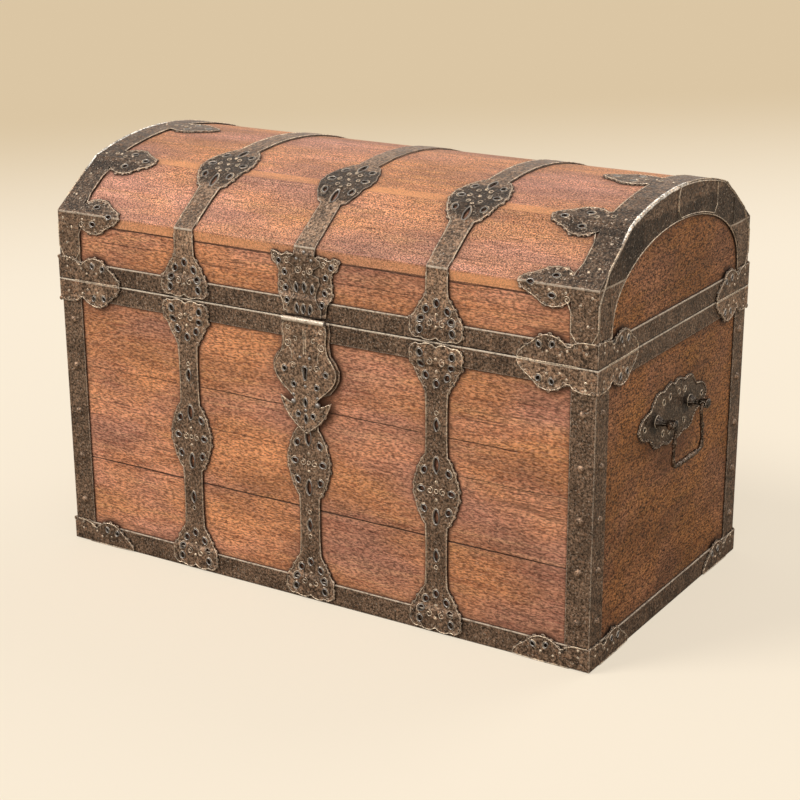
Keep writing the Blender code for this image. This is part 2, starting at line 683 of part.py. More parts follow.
def build_sill_frame():
    """The angle-iron frame that the box stands in."""
    inner = (HALF_LENGTH + layer(1), HALF_DEPTH + layer(1))
    window = (inner[0] - SILL_FLANGE, inner[1] - SILL_FLANGE)
    shape = box((-inner[0] - IRON, -inner[1] - IRON, 0.0), (inner[0] + IRON, inner[1] + IRON, SILL_WIDTH))
    part = add_part("sill_frame", shape, DARK_IRON)
    seat = box((-inner[0], -inner[1], IRON), (inner[0], inner[1], SILL_WIDTH + OVERRUN))
    hole = box((-window[0], -window[1], -OVERRUN), (window[0], window[1], SILL_WIDTH))
    combine(part, add_tool("sill_frame_seat", seat), "DIFFERENCE")
    combine(part, add_tool("sill_frame_window", hole), "DIFFERENCE")
    return part


def rivet(shape, place, outwards):
    """A domed rivet head, its foot sunk into the plate at a place on its face."""
    made = bmesh.ops.create_uvsphere(shape, u_segments=RIVET_SIDES, v_segments=RIVET_RINGS, radius=1.0)
    verts = made["verts"]
    edges = {edge for vert in verts for edge in vert.link_edges}
    faces = {face for vert in verts for face in vert.link_faces}
    cut = bmesh.ops.bisect_plane(shape, geom=verts + list(edges) + list(faces), dist=MERGE,
                                 plane_co=(0.0, 0.0, 0.0), plane_no=(0.0, 0.0, 1.0), clear_inner=True)
    rim = [item for item in cut["geom_cut"] if isinstance(item, bmesh.types.BMEdge)]
    bmesh.ops.holes_fill(shape, edges=rim, sides=RIVET_SIDES)
    dome = [vert for vert in verts if vert.is_valid]
    dome += [item for item in cut["geom_cut"] if isinstance(item, bmesh.types.BMVert) and item not in dome]
    stand = Vector((0.0, 0.0, 1.0)).rotation_difference(Vector(outwards)).to_matrix().to_4x4()
    foot = Vector(place) - Vector(outwards) * RIVET_SINK
    size = Matrix.Diagonal((RIVET_RADIUS, RIVET_RADIUS, RIVET_HEIGHT + RIVET_SINK, 1.0))
    bmesh.ops.transform(shape, matrix=Matrix.Translation(foot) @ stand @ size, verts=dome)


def build_corner_irons():
    """An angle iron up each corner of the base, with a row of rivets on each leg."""
    parts = []
    bottom = SILL_WIDTH + FIT
    top = BASE_HOOP_BOTTOM - FIT
    inner = (HALF_LENGTH + layer(1), HALF_DEPTH + layer(1))
    outer = (inner[0] + IRON, inner[1] + IRON)
    outline = [outer, (outer[0] - CORNER_LEG, outer[1]), (outer[0] - CORNER_LEG, inner[1]), inner,
               (inner[0], outer[1] - CORNER_LEG), (outer[0], outer[1] - CORNER_LEG)]
    gap = (top - bottom - 2 * RIVET_END_SPACE) / (RIVET_ROWS - 1)
    heights = [bottom + RIVET_END_SPACE + gap * row for row in range(RIVET_ROWS)]
    for name, across, deep in (("front_right", 1, -1), ("front_left", -1, -1),
                               ("back_right", 1, 1), ("back_left", -1, 1)):
        ring = [(across * x, deep * y) for x, y in outline]
        shape = flat_plate(ring, (), top - bottom)
        bmesh.ops.translate(shape, verts=shape.verts, vec=(0.0, 0.0, bottom))
        part = add_part("corner_iron_" + name, shape, DARK_IRON)
        heads = bmesh.new()
        for height in heights:
            rivet(heads, (across * (outer[0] - RIVET_SETBACK), deep * outer[1], height), (0.0, deep, 0.0))
            rivet(heads, (across * outer[0], deep * (outer[1] - RIVET_SETBACK), height), (across, 0.0, 0.0))
        combine(part, add_tool("rivets_" + name, heads), "UNION")
        parts.append(part)
    return parts


def build_corner_brackets():
    """Scalloped brackets bent round each corner, at the sill and on both sides of the parting."""
    lid_parts = []
    half = shaped(BRACKET_SHARES, 0.0, BRACKET_REACH, BRACKET_HEIGHT)
    right = [(height, along) for height, along in half]
    outline = [(height, along) for height, along in right]
    outline += [(height, -along) for height, along in reversed(right[1:])]
    holes = []
    for along, height, turn in BRACKET_EYE_SHARES:
        for side in (-1, 1):
            holes.append(eye(BRACKET_HEIGHT * height, side * BRACKET_REACH * along,
                             BRACKET_EYE_LENGTH, BRACKET_EYE_WIDTH, 90 - side * turn,
                             KITE_OUTLINE_SHARES))
    middle = BRACKET_REACH
    outline = [(height, along + middle) for height, along in outline]
    holes = [[(height, along + middle) for height, along in ring] for ring in holes]
    corner = (HALF_LENGTH + layer(2), -HALF_DEPTH - layer(2))
    path = [(corner[0], corner[1] + BRACKET_REACH), corner, (corner[0] - BRACKET_REACH, corner[1])]
    levels = (("sill", BRACKET_LIFT, 1), ("base_rim", BASE_TOP, -1), ("lid_rim", LID_BOTTOM, 1))
    for level, start, way in levels:
        for name, across, deep in (("front_right", 1, 1), ("front_left", -1, 1),
                                   ("back_right", 1, -1), ("back_left", -1, -1)):
            shape = bend(flat_plate(outline, holes, IRON), path, plan_view)
            for vert in shape.verts:
                x, y, height = vert.co
                vert.co = (across * x, deep * y, start + way * height)
            part = add_part(f"{level}_bracket_{name}", shape, WORN_IRON)
            if level == "lid_rim":
                lid_parts.append(part)
    return lid_parts


# Straps
def middle_medallion(centre, length, width):
    """A medallion that a strap passes through: its side points and its holes."""
    start = centre - length / 2
    points = [(STRAP_WIDTH / 2, start)] + shaped(MIDDLE_MEDALLION_SHARES, start, length, width / 2)
    points.append((STRAP_WIDTH / 2, start + length))
    holes = eye_pairs(MIDDLE_EYE_SHARES, start, length, width / 2, EYE_LENGTH, EYE_WIDTH)
    for share, turn in MIDDLE_SLOT_SHARES:
        holes.append(eye(0.0, start + length * share, SLOT_LENGTH, SLOT_WIDTH, turn))
    return points, holes


def rim_medallion(edge, length, way):
    """A medallion at a strap's end: its free edge is at a station and it narrows the given way."""
    points = [(STRAP_WIDTH / 2, edge + way * length)]
    points += [(across, edge + way * (length - along))
               for across, along in shaped(RIM_MEDALLION_SHARES, 0.0, length, RIM_MEDALLION_WIDTH / 2)]
    holes = []
    for along, across, turn in RIM_EYE_SHARES:
        place = edge + way * length * (1 - along)
        for side in ((1, -1) if across else (1,)):
            tilt = side * turn if way > 0 else 180 - side * turn
            holes.append(eye(side * across * RIM_MEDALLION_WIDTH / 2, place, EYE_LENGTH, EYE_WIDTH, tilt))
    if way > 0:
        points.reverse()
    return points, holes


def base_strap_path(top):
    """Up the front: over the sill, down onto the boards, and over the rim hoop if it gets there."""
    path = [(-HALF_DEPTH - layer(2), BRACKET_LIFT),
            (-HALF_DEPTH - layer(2), SILL_WIDTH + STEP_LEAD),
            (-HALF_DEPTH - layer(1), SILL_WIDTH + STEP_LEAD + STEP_RUN)]
    if top > BASE_HOOP_BOTTOM:
        path.append((-HALF_DEPTH - layer(1), BASE_HOOP_BOTTOM - STEP_LEAD - STEP_RUN))
        path.append((-HALF_DEPTH - layer(2), BASE_HOOP_BOTTOM - STEP_LEAD))
        path.append((-HALF_DEPTH - layer(2), top))
    else:
        path.append((-HALF_DEPTH - layer(1), top))
    return path


def build_base_straps():
    """Three pierced straps down the front; the middle one starts under the lock plate."""
    rim = BASE_TOP - MEDALLION_EDGE
    lock_plate_bottom = BASE_TOP - LOCK_PLATE_LENGTH
    middle_top = lock_plate_bottom + STRAP_WIDTH / 2
    for name, place, top in (("left", -STRAP_SPACING, rim), ("middle", 0.0, middle_top),
                             ("right", STRAP_SPACING, rim)):
        path = base_strap_path(top)
        foot, foot_holes = rim_medallion(MEDALLION_EDGE, RIM_MEDALLION_LENGTH, 1)
        centre = station_at(path, MIDDLE_MEDALLION_HEIGHT)
        middle, middle_holes = middle_medallion(centre, MIDDLE_MEDALLION_LENGTH, MIDDLE_MEDALLION_WIDTH)
        side = foot + middle
        holes = foot_holes + middle_holes
        lower_lens = station_at(path, LOWER_LENS_HEIGHT)
        holes.append(eye(0.0, lower_lens, LENS_LENGTH, LENS_WIDTH, 0, LENS_OUTLINE_SHARES))
        end = stations_of(path)[-1]
        if top == rim:
            head, head_holes = rim_medallion(end, RIM_MEDALLION_LENGTH, -1)
            side += head
            holes += head_holes
            upper_lens = station_at(path, UPPER_LENS_HEIGHT)
            holes.append(eye(0.0, upper_lens, LENS_LENGTH, LENS_WIDTH, 0, LENS_OUTLINE_SHARES))
        else:
            side.append((STRAP_WIDTH / 2, end))
        shape = bend(flat_plate(mirrored(side), holes, IRON), path, side_view)
        add_part("base_strap_" + name, shape, WORN_IRON, (place, 0.0, 0.0))


def hinge_spans():
    """Spans of X of a rear hinge's centre knuckle and of its two outer knuckles."""
    centre = HINGE_CENTRE_WIDTH / 2
    edge = STRAP_WIDTH / 2 + TONGUE_PLAY
    return [(-centre, centre)], [(-edge, -centre - FIT), (centre + FIT, edge)]


def escutcheon_path():
    """Up the lid's front wall: over the lid hoop in layer 2, then onto the boards."""
    return [(-HALF_DEPTH - layer(2), ESCUTCHEON_BOTTOM),
            (-HALF_DEPTH - layer(2), LID_HOOP_TOP + STEP_LEAD),
            (-HALF_DEPTH - layer(1), LID_HOOP_TOP + STEP_LEAD + STEP_RUN),
            (-HALF_DEPTH - layer(1), ESCUTCHEON_TOP)]


def lid_strap_path(middle):
    """From the parting in front, over the lid, to the hinge axis, with the index of the crown's start."""
    if middle:
        path = offset_path(escutcheon_path(), IRON + FIT)
        path[0] = (path[0][0], PARTING_HEIGHT)
        path[-1] = (path[-1][0], ESCUTCHEON_TOP + STEP_LEAD)
        path.append((-HALF_DEPTH - layer(1), ESCUTCHEON_TOP + STEP_LEAD + STEP_RUN))
    else:
        path = [(-HALF_DEPTH - layer(2), LID_BOTTOM + MEDALLION_EDGE),
                (-HALF_DEPTH - layer(2), LID_HOOP_TOP + STEP_LEAD),
                (-HALF_DEPTH - layer(1), LID_HOOP_TOP + STEP_LEAD + STEP_RUN)]
    crown_index = len(path) + 1
    path += lid_section(layer(1))[1:-1]
    path += [(HALF_DEPTH + layer(1), LID_HOOP_TOP + STEP_LEAD + STEP_RUN),
             (HALF_DEPTH + layer(2), LID_HOOP_TOP + STEP_LEAD),
             (HALF_DEPTH + layer(2), PARTING_HEIGHT)]
    return path, crown_index


def urn():
    """The urn-shaped front end of the middle lid strap, above the hasp's centre knuckle."""
    start = HASP_BARREL_RADIUS + STEP_LEAD
    length = ESCUTCHEON_TOP - PARTING_HEIGHT - start
    knuckle = HASP_CENTRE_WIDTH / 2 - TONGUE_PLAY
    side = [(knuckle, 0.0), (knuckle, start)]
    side += shaped(URN_SHARES, start, length, URN_WIDTH / 2)
    holes = []
    for along, across, turn in URN_SLOT_SHARES:
        for way in ((1, -1) if across else (1,)):
            holes.append(eye(way * across * URN_WIDTH / 2, start + along * length, URN_SLOT_LENGTH,
                             URN_SLOT_WIDTH, way * turn, LENS_OUTLINE_SHARES))
    return side, holes


def build_lid_straps():
    """Three straps over the lid, each ending in the centre knuckle of a rear hinge."""
    parts = []
    centre, _ = hinge_spans()
    knuckle = HINGE_CENTRE_WIDTH / 2 - TONGUE_PLAY
    for name, place in (("left", -STRAP_SPACING), ("middle", 0.0), ("right", STRAP_SPACING)):
        path, crown_index = lid_strap_path(name == "middle")
        stations = stations_of(path)
        shoulder = stations[crown_index] + SHOULDER_MEDALLION_LENGTH / 2 - SHOULDER_LEAD
        if name == "middle":
            side, holes = urn()
        else:
            side, holes = rim_medallion(0.0, LID_MEDALLION_LENGTH, 1)
        points, more = middle_medallion(shoulder, SHOULDER_MEDALLION_LENGTH, SHOULDER_MEDALLION_WIDTH)
        side += points
        holes += more
        plate_end = stations[-1] - HINGE_RADIUS - STEP_LEAD
        side += [(STRAP_WIDTH / 2, plate_end), (knuckle, plate_end), (knuckle, stations[-1])]
        shape = bend(flat_plate(mirrored(side), holes, IRON), path, side_view)
        part = add_part("lid_strap_" + name, shape, WORN_IRON, (place, 0.0, 0.0))
        knuckles = barrel(centre, HINGE_RADIUS, HINGE_AXIS_Y)
        bores = barrel([(-STRAP_WIDTH, STRAP_WIDTH)], HINGE_HOLE_RADIUS, HINGE_AXIS_Y)
        combine(part, add_tool(part.name + "_knuckle", knuckles, part.location), "UNION")
        combine(part, add_tool(part.name + "_bore", bores, part.location), "DIFFERENCE")
        if name == "middle":
            half = HASP_CENTRE_WIDTH / 2
            front = barrel([(-half, half)], HASP_BARREL_RADIUS, HASP_AXIS_Y)
            bore = barrel([(-HASP_CENTRE_WIDTH, HASP_CENTRE_WIDTH)], HASP_HOLE_RADIUS, HASP_AXIS_Y)
            combine(part, add_tool("urn_knuckle", front), "UNION")
            combine(part, add_tool("urn_bore", bore), "DIFFERENCE")
        parts.append(part)
    return parts


def build_hinge_leaves():
    """The base halves of the rear hinges: a leaf down the back with two knuckles, and a pin."""
    _, outer = hinge_spans()
    path = [(HALF_DEPTH + layer(2), PARTING_HEIGHT),
            (HALF_DEPTH + layer(2), BASE_HOOP_BOTTOM - STEP_LEAD),
            (HALF_DEPTH + layer(1), BASE_HOOP_BOTTOM - STEP_LEAD - STEP_RUN),
            (HALF_DEPTH + layer(1), PARTING_HEIGHT - HINGE_LEAF_LENGTH)]
    plate_start = HINGE_RADIUS + STEP_LEAD
    inner = HINGE_CENTRE_WIDTH / 2 + FIT + TONGUE_PLAY
    tail = shaped(TAIL_SHARES, HINGE_LEAF_LENGTH - HINGE_TAIL_LENGTH, HINGE_TAIL_LENGTH, STRAP_WIDTH / 2)
    side = [(inner, plate_start), (inner, 0.0), (STRAP_WIDTH / 2, 0.0)] + tail
    reach = STRAP_WIDTH / 2 + TONGUE_PLAY + FIT
    profile = [(0.0, reach + HINGE_PIN_HEAD_LENGTH), (HINGE_PIN_HEAD, reach + HINGE_PIN_HEAD_LENGTH / 2),
               (HINGE_PIN_HEAD, reach), (HINGE_PIN_RADIUS, reach)]
    profile += [(radius, -height) for radius, height in reversed(profile)]
    for name, place in (("left", -STRAP_SPACING), ("middle", 0.0), ("right", STRAP_SPACING)):
        shape = bend(flat_plate(mirrored(side), (), IRON), path, side_view)
        part = add_part("hinge_leaf_" + name, shape, DARK_IRON, (place, 0.0, 0.0))
        knuckles = barrel(outer, HINGE_RADIUS, HINGE_AXIS_Y)
        bores = barrel([(-STRAP_WIDTH, STRAP_WIDTH)], HINGE_HOLE_RADIUS, HINGE_AXIS_Y)
        combine(part, add_tool(part.name + "_knuckles", knuckles, part.location), "UNION")
        combine(part, add_tool(part.name + "_bore", bores, part.location), "DIFFERENCE")
        pin = turned("hinge_pin_" + name, profile, PIN_SIDES, BRIGHT_IRON)
        pin.rotation_euler = (0.0, math.pi / 2, 0.0)
        pin.location = (place, HINGE_AXIS_Y, PARTING_HEIGHT)


def build_lid_end_irons():
    """Angle irons over both lid ends: a strap with wings on top and lapped plates on the end."""
    parts = []
    path = [(-HALF_DEPTH - layer(1), LID_HOOP_TOP + FIT)] + lid_section(layer(1))[1:-1]
    path.append((HALF_DEPTH + layer(1), LID_HOOP_TOP + FIT))
    stations = stations_of(path)
    face = HALF_LENGTH + layer(1)
    edge = face + IRON - FIT / 3
    inner_edge = face + IRON - END_IRON_WIDTH
    side = []
    holes = []
    turns = stations[1:-1]
    for centre in (turns[0], turns[1], turns[len(turns) // 2]):
        wing = [(inner_edge - WING_REACH * out, -WING_HALF_HEIGHT * up) for out, up in WING_SHARES]
        side += [(across, centre + along) for across, along in wing]
        side += [(across, centre - along) for across, along in reversed(wing[:-1])]
        for out, up, turn in WING_EYE_SHARES:
            for way in (-1, 1):
                holes.append(eye(inner_edge - WING_REACH * out, centre + way * up * WING_HALF_HEIGHT,
                                 WING_EYE_LENGTH, WING_EYE_WIDTH, way * turn, KITE_OUTLINE_SHARES))
        holes.append(eye(inner_edge - WING_REACH * WING_TIP_EYE_SHARE, centre,
                         WING_EYE_LENGTH, WING_EYE_WIDTH, -90, KITE_OUTLINE_SHARES))
    outline = [(edge, 0.0), (inner_edge, 0.0)] + side + [(inner_edge, stations[-1]), (edge, stations[-1])]

    def arch(width, rise, steps):
        """The lower edge of the end plates, from the back to the front."""
        return [(width * math.cos(math.pi * step / steps),
                 ARCH_SPRING_HEIGHT + rise * math.sin(math.pi * step / steps)) for step in range(steps + 1)]

    rim = lid_section(layer(1) + IRON / 2)[1:-1]
    foot = LID_HOOP_TOP + 2 * FIT
    flange = [(rim[0][0], foot)] + rim + [(rim[-1][0], foot), (ARCH_HALF_WIDTH, foot)]
    flange += arch(ARCH_HALF_WIDTH, ARCH_RISE, ARCH_STEPS) + [(-ARCH_HALF_WIDTH, foot)]

    for name, way in (("left", -1), ("right", 1)):
        shape = bend(flat_plate(outline, holes, IRON), path, side_view)
        for vert in shape.verts:
            vert.co.x *= way
        part = add_part("lid_end_iron_" + name, shape, WORN_IRON)
        plate = lengthwise(flange, END_IRON_FACE)
        middle = way * (face + END_IRON_FACE / 2)
        end_plate = add_tool(part.name + "_face", plate, (middle, 0.0, 0.0))
        laps = bmesh.new()
        for start, end in LAP_SHARES:
            ring = lap_outline(start, end)
            lap = lengthwise(ring, LAP_RAISE * 2)
            mesh = bpy.data.meshes.new("lap")
            lap.to_mesh(mesh)
            lap.free()
            laps.from_mesh(mesh)
            bpy.data.meshes.remove(mesh)
        middle = way * (face + END_IRON_FACE)
        combine(end_plate, add_tool(part.name + "_laps", laps, (middle, 0.0, 0.0)), "UNION")
        combine(part, end_plate, "UNION")
        parts.append(part)
    return parts


def lap_outline(start, end):
    """A lapped plate on the lid's end, between two shares of the crown's half depth."""
    rim = lid_section(layer(1) - LAP_SETBACK)
    upper = []
    first, last = start * HALF_DEPTH, end * HALF_DEPTH
    for before, after in zip(rim, rim[1:]):
        for place in (first, last):
            if before[0] < place <= after[0]:
                upper.append((place, height_on(before, after, place)))
        if first < after[0] < last:
            upper.append(after)
    upper.sort()
    lower = []
    reach = ARCH_HALF_WIDTH + LAP_MARGIN
    for step in range(LAP_STEPS + 1):
        across = first + (last - first) * step / LAP_STEPS
        across = min(max(across, -reach), reach)
        rise = (ARCH_RISE + LAP_MARGIN) * math.sqrt(1 - (across / reach) ** 2)
        lower.append((across, ARCH_SPRING_HEIGHT + rise))
    return upper + lower[::-1]


# Hasp, lock plate and escutcheon
def keyhole_ring(width_play):
    """The outline of the keyhole: a round head over a slot."""
    radius = KEYHOLE_HEAD_RADIUS + width_play
    half = KEYHOLE_SLOT_WIDTH / 2 + width_play
    start = math.asin(half / radius)
    ring = [(half, KEYHOLE_HEIGHT - KEYHOLE_SLOT_LENGTH)]
    for step in range(KEYHOLE_STEPS + 1):
        angle = start - math.pi / 2 + (2 * math.pi - 2 * start) * step / KEYHOLE_STEPS
        ring.append((radius * math.cos(angle), KEYHOLE_HEIGHT + radius * math.sin(angle)))
    ring.append((-half, KEYHOLE_HEIGHT - KEYHOLE_SLOT_LENGTH))
    return ring


def front_plate(outline, holes, number):
    """A flat plate on the front wall in one of the iron layers."""
    shape = flat_plate(outline, holes, IRON)
    for vert in shape.verts:
        across, along, height = vert.co
        vert.co = (across, -HALF_DEPTH - layer(number) - height, along)
    return shape


def build_lock_plate():
    """The fixed plate behind the hasp."""
    bottom = BASE_TOP - LOCK_PLATE_LENGTH
    side = shaped(LOCK_PLATE_SHARES, bottom, LOCK_PLATE_LENGTH - FIT, LOCK_PLATE_WIDTH / 2)
    shape = front_plate(mirrored(side), [keyhole_ring(FIT)], 2)
    add_part("lock_plate", shape, DARK_IRON)


def build_hasp():
    """The hinged plate over the lock, with a keyhole, and the pin it swings on."""
    tip = PARTING_HEIGHT - HASP_LENGTH
    half = HASP_BARREL_WIDTH / 2
    inner = HASP_CENTRE_WIDTH / 2 + FIT
    side = shaped(HASP_SHARES, tip, HASP_LENGTH, HASP_WIDTH / 2)
    side += [(half - TONGUE_PLAY, PARTING_HEIGHT), (inner + TONGUE_PLAY, PARTING_HEIGHT),
             (inner + TONGUE_PLAY, PARTING_HEIGHT - HASP_BARREL_RADIUS - STEP_LEAD)]
    holes = [keyhole_ring(0.0)]
    holes += eye_pairs(HASP_EYE_SHARES, tip, HASP_LENGTH, HASP_WIDTH / 2, PLATE_EYE_LENGTH, PLATE_EYE_WIDTH)
    for share, turn in HASP_SLOT_SHARES:
        holes.append(eye(0.0, tip + HASP_LENGTH * share, URN_SLOT_LENGTH, URN_SLOT_WIDTH, turn,
                         LENS_OUTLINE_SHARES))
    hasp = add_part("hasp", front_plate(mirrored(side), holes, 3), WORN_IRON)
    knuckles = barrel([(-half, -inner), (inner, half)], HASP_BARREL_RADIUS, HASP_AXIS_Y)
    bore = barrel([(-HASP_BARREL_WIDTH, HASP_BARREL_WIDTH)], HASP_HOLE_RADIUS, HASP_AXIS_Y)
    combine(hasp, add_tool("hasp_knuckles", knuckles), "UNION")
    combine(hasp, add_tool("hasp_bore", bore), "DIFFERENCE")

    reach = half + FIT
    profile = [(0.0, reach + HASP_PIN_HEAD_LENGTH), (HASP_PIN_HEAD, reach + HASP_PIN_HEAD_LENGTH / 2),
               (HASP_PIN_HEAD, reach), (HASP_PIN_RADIUS, reach)]
    profile += [(radius, -height) for radius, height in reversed(profile)]
    pin = turned("hasp_pin", profile, PIN_SIDES, BRIGHT_IRON)
    pin.rotation_euler = (0.0, math.pi / 2, 0.0)
    pin.location = (0.0, HASP_AXIS_Y, PARTING_HEIGHT)
    return hasp, pin


def build_escutcheon():
    """The openwork plate behind the urn on the lid's front wall."""
    path = escutcheon_path()
    length = stations_of(path)[-1]
    side = shaped(ESCUTCHEON_SHARES, 0.0, length, ESCUTCHEON_WIDTH / 2)
    holes = eye_pairs(ESCUTCHEON_EYE_SHARES, 0.0, length, ESCUTCHEON_WIDTH / 2,
                      PLATE_EYE_LENGTH, PLATE_EYE_WIDTH)
    shape = bend(flat_plate(mirrored(side), holes, IRON), path, side_view)
    return add_part("lid_escutcheon", shape, DARK_IRON)


# The lock inside the front
def build_lock():
    """Case, bolt and the lid's staple; the bolt slides through the staple's eye."""
    wall = -RAIL_INNER + FIT
    back = wall + CASE_DEPTH
    half = CASE_LENGTH / 2
    case = add_part("lock_case", box((-half, wall, CASE_BOTTOM), (half, back, CASE_TOP)), DARK_IRON)
    hollow = box((-half + CASE_WALL, wall - OVERRUN, CASE_BOTTOM + CASE_WALL),
                 (half - CASE_WALL, back - CASE_WALL, CASE_TOP - CASE_WALL))
    combine(case, add_tool("lock_case_hollow", hollow), "DIFFERENCE")
    staple_front = BOLT_Y - STAPLE_DEPTH / 2
    staple_back = BOLT_Y + STAPLE_DEPTH / 2
    mouth = box((-STAPLE_WIDTH / 2 - STAPLE_PLAY, wall - OVERRUN, CASE_TOP - 2 * CASE_WALL),
                (STAPLE_WIDTH / 2 + STAPLE_PLAY, staple_back + STAPLE_PLAY, CASE_TOP + OVERRUN))
    combine(case, add_tool("lock_case_mouth", mouth), "DIFFERENCE")
    bolt_end = BOLT_START + BOLT_LENGTH
    places = (-BOLT_START - GUIDE_WIDTH, BOLT_START - BOLT_PLAY, bolt_end - BOLT_TRAVEL - GUIDE_WIDTH)
    guide_low = BOLT_CENTRE_HEIGHT - GUIDE_HEIGHT / 2
    guide_high = BOLT_CENTRE_HEIGHT + GUIDE_HEIGHT / 2
    guides = boxes([((place, BOLT_Y - GUIDE_REACH / 2, guide_low),
                     (place + GUIDE_WIDTH, back - CASE_WALL / 2, guide_high)) for place in places])
    combine(case, add_tool("lock_case_guides", guides), "UNION")
    run = (BOLT_WIDTH / 2 + BOLT_PLAY, BOLT_HEIGHT / 2 + BOLT_PLAY)
    track = box((places[0] - OVERRUN, BOLT_Y - run[0], BOLT_CENTRE_HEIGHT - run[1]),
                (places[2] + GUIDE_WIDTH + OVERRUN, BOLT_Y + run[0], BOLT_CENTRE_HEIGHT + run[1]))
    combine(case, add_tool("lock_case_track", track), "DIFFERENCE")

    middle = (BOLT_START + BOLT_LENGTH / 2, BOLT_Y, BOLT_CENTRE_HEIGHT)
    size = Vector((BOLT_LENGTH, BOLT_WIDTH, BOLT_HEIGHT)) / 2
    bolt = add_part("lock_bolt", box(-size, size), BRIGHT_IRON, middle)
    chamfer = bolt.modifiers.new("chamfer", "BEVEL")
    chamfer.width = BOARD_CHAMFER
    chamfer.segments = 1

    rail = -RAIL_INNER + FIT
    plate_low = LID_BOTTOM + STAPLE_PLATE_LIFT
    plate = box((-STAPLE_PLATE_WIDTH / 2, rail, plate_low),
                (STAPLE_PLATE_WIDTH / 2, rail + IRON, plate_low + STAPLE_PLATE_HEIGHT))
    staple = add_part("lid_staple", plate, DARK_IRON)
    eye_top = BOLT_CENTRE_HEIGHT + STAPLE_EYE_HEIGHT / 2
    eye_bottom = BOLT_CENTRE_HEIGHT - STAPLE_EYE_HEIGHT / 2
    shank_top = plate_low + STAPLE_SHANK_HEIGHT
    half_width = STAPLE_WIDTH / 2
    bar = box((-half_width, staple_front, eye_bottom - STAPLE_BAR), (half_width, staple_back, shank_top))
    root = box((-half_width - FIT, rail + IRON / 2, plate_low + FIT),
               (half_width + FIT, staple_back - FIT, shank_top + FIT))
    hole = box((-OVERRUN, BOLT_Y - STAPLE_EYE_DEPTH / 2, eye_bottom),
               (OVERRUN, BOLT_Y + STAPLE_EYE_DEPTH / 2, eye_top))
    combine(staple, add_tool("lid_staple_root", root), "UNION")
    combine(staple, add_tool("lid_staple_bar", bar), "UNION")
    combine(staple, add_tool("lid_staple_eye", hole), "DIFFERENCE")
    return bolt, staple


# Handles
def build_handle_plate(name, side):
    """A pierced plate on an end panel with two turned studs, bored across for the bail."""
    half = (HANDLE_PLATE_LENGTH / 2, HANDLE_PLATE_HEIGHT / 2)
    quarter = [(half[0] * along, half[1] * up) for along, up in HANDLE_PLATE_SHARES]
    upper = quarter + [(-along, up) for along, up in reversed(quarter[1:])]
    lower = [(along, -up) for along, up in reversed(upper[1:])]
    right = [point for point in upper if point[0] >= 0]
    outline = [(-along, up) for along, up in reversed(right[1:])] + right
    outline += [(along, -up) for along, up in reversed(right[:-1])]
    outline += [(-along, -up) for along, up in right[1:-1]]
    holes = []
    for along, up, turn in HANDLE_EYE_SHARES:
        for way in (1, -1):
            for rise in (1, -1):
                holes.append(eye(way * along * half[0], rise * up * half[1], EYE_LENGTH, EYE_WIDTH,
                                 way * rise * turn + (0 if rise > 0 else 180)))
    for way in (1, -1):
        holes.append(eye(way * HANDLE_TIP_EYE_SHARE * half[0], 0.0, EYE_LENGTH, EYE_WIDTH, way * -82))
    shape = flat_plate(outline, holes, IRON)
    for vert in shape.verts:
        along, up, height = vert.co
        vert.co = (side * (HALF_LENGTH + layer(1) + height), along, HANDLE_HEIGHT + up)
    plate = add_part(name, shape, WORN_IRON)
    reach = STUD_REACH + STUD_RADIUS
    profile = []
    for along, out in STUD_SHARES:
        height = STUD_REACH + along * STUD_RADIUS if along > 0 else STUD_REACH * (1 + along) - IRON / 2
        profile.append((STUD_RADIUS * out, height))
    profile.append((0.0, profile[-1][1]))
    for way in (1, -1):
        stud = turned(f"{name}_stud_{'back' if way > 0 else 'front'}", profile, STUD_SIDES)
        stud.rotation_euler = (0.0, side * math.pi / 2, 0.0)
        stud.location = (side * HANDLE_PLATE_FACE, way * STUD_SPACING / 2, HANDLE_HEIGHT)
        combine(plate, stud, "UNION")
    bore = bmesh.new()
    turn = Matrix.Rotation(math.pi / 2, 4, "X")
    place = Matrix.Translation((side * PIVOT_X, 0.0, HANDLE_HEIGHT)) @ turn
    bmesh.ops.create_cone(bore, cap_ends=True, segments=BARREL_SIDES, radius1=BAIL_ROD + BAIL_HOLE_PLAY,
                          radius2=BAIL_ROD + BAIL_HOLE_PLAY, depth=STUD_SPACING + 2 * reach, matrix=place)
    combine(plate, add_tool(name + "_bore", bore), "DIFFERENCE")
    return plate


def bail_points():
    """One half of a bail, from the middle of its grip to its tip: across, height and thickness."""
    points = []
    pitch = 2 * GRIP_HALF_LENGTH / GRIP_BEADS
    for bead in range(GRIP_BEADS // 2, GRIP_BEADS):
        for along, thick in BEAD_SHARES:
            across = -GRIP_HALF_LENGTH + pitch * (bead + along)
            if across > MERGE:
                points.append((across, -BAIL_DROP, thick))
    for wide, high, thick in BAIL_FOOT_SHARES:
        points.append((BAIL_BOW + BAIL_ELBOW * wide, -BAIL_DROP + BAIL_ELBOW * high, thick))
    for wide, high, thick in BAIL_SIDE_SHARES:
        points.append((BAIL_BOW + BAIL_ELBOW * wide, -BAIL_DROP * high, thick))
    points.append((BAIL_LEG, -BAIL_ELBOW * BAIL_NECK_SHARE, 1.0))
    for step in range(BAIL_TURN_STEPS + 1):
        angle = math.pi / 2 * step / BAIL_TURN_STEPS
        points.append((BAIL_LEG + BAIL_ELBOW * (1 - math.cos(angle)),
                       -BAIL_ELBOW * (1 - math.sin(angle)), 1.0))
    knob = BAIL_TIP_REACH - BAIL_ELBOW
    points += [(knob, 0.0, 1.0), (knob + FIT, 0.0, BAIL_KNOB_SHARE),
               (BAIL_TIP_REACH - FIT, 0.0, BAIL_KNOB_SHARE), (BAIL_TIP_REACH, 0.0, 1.0)]
    return points


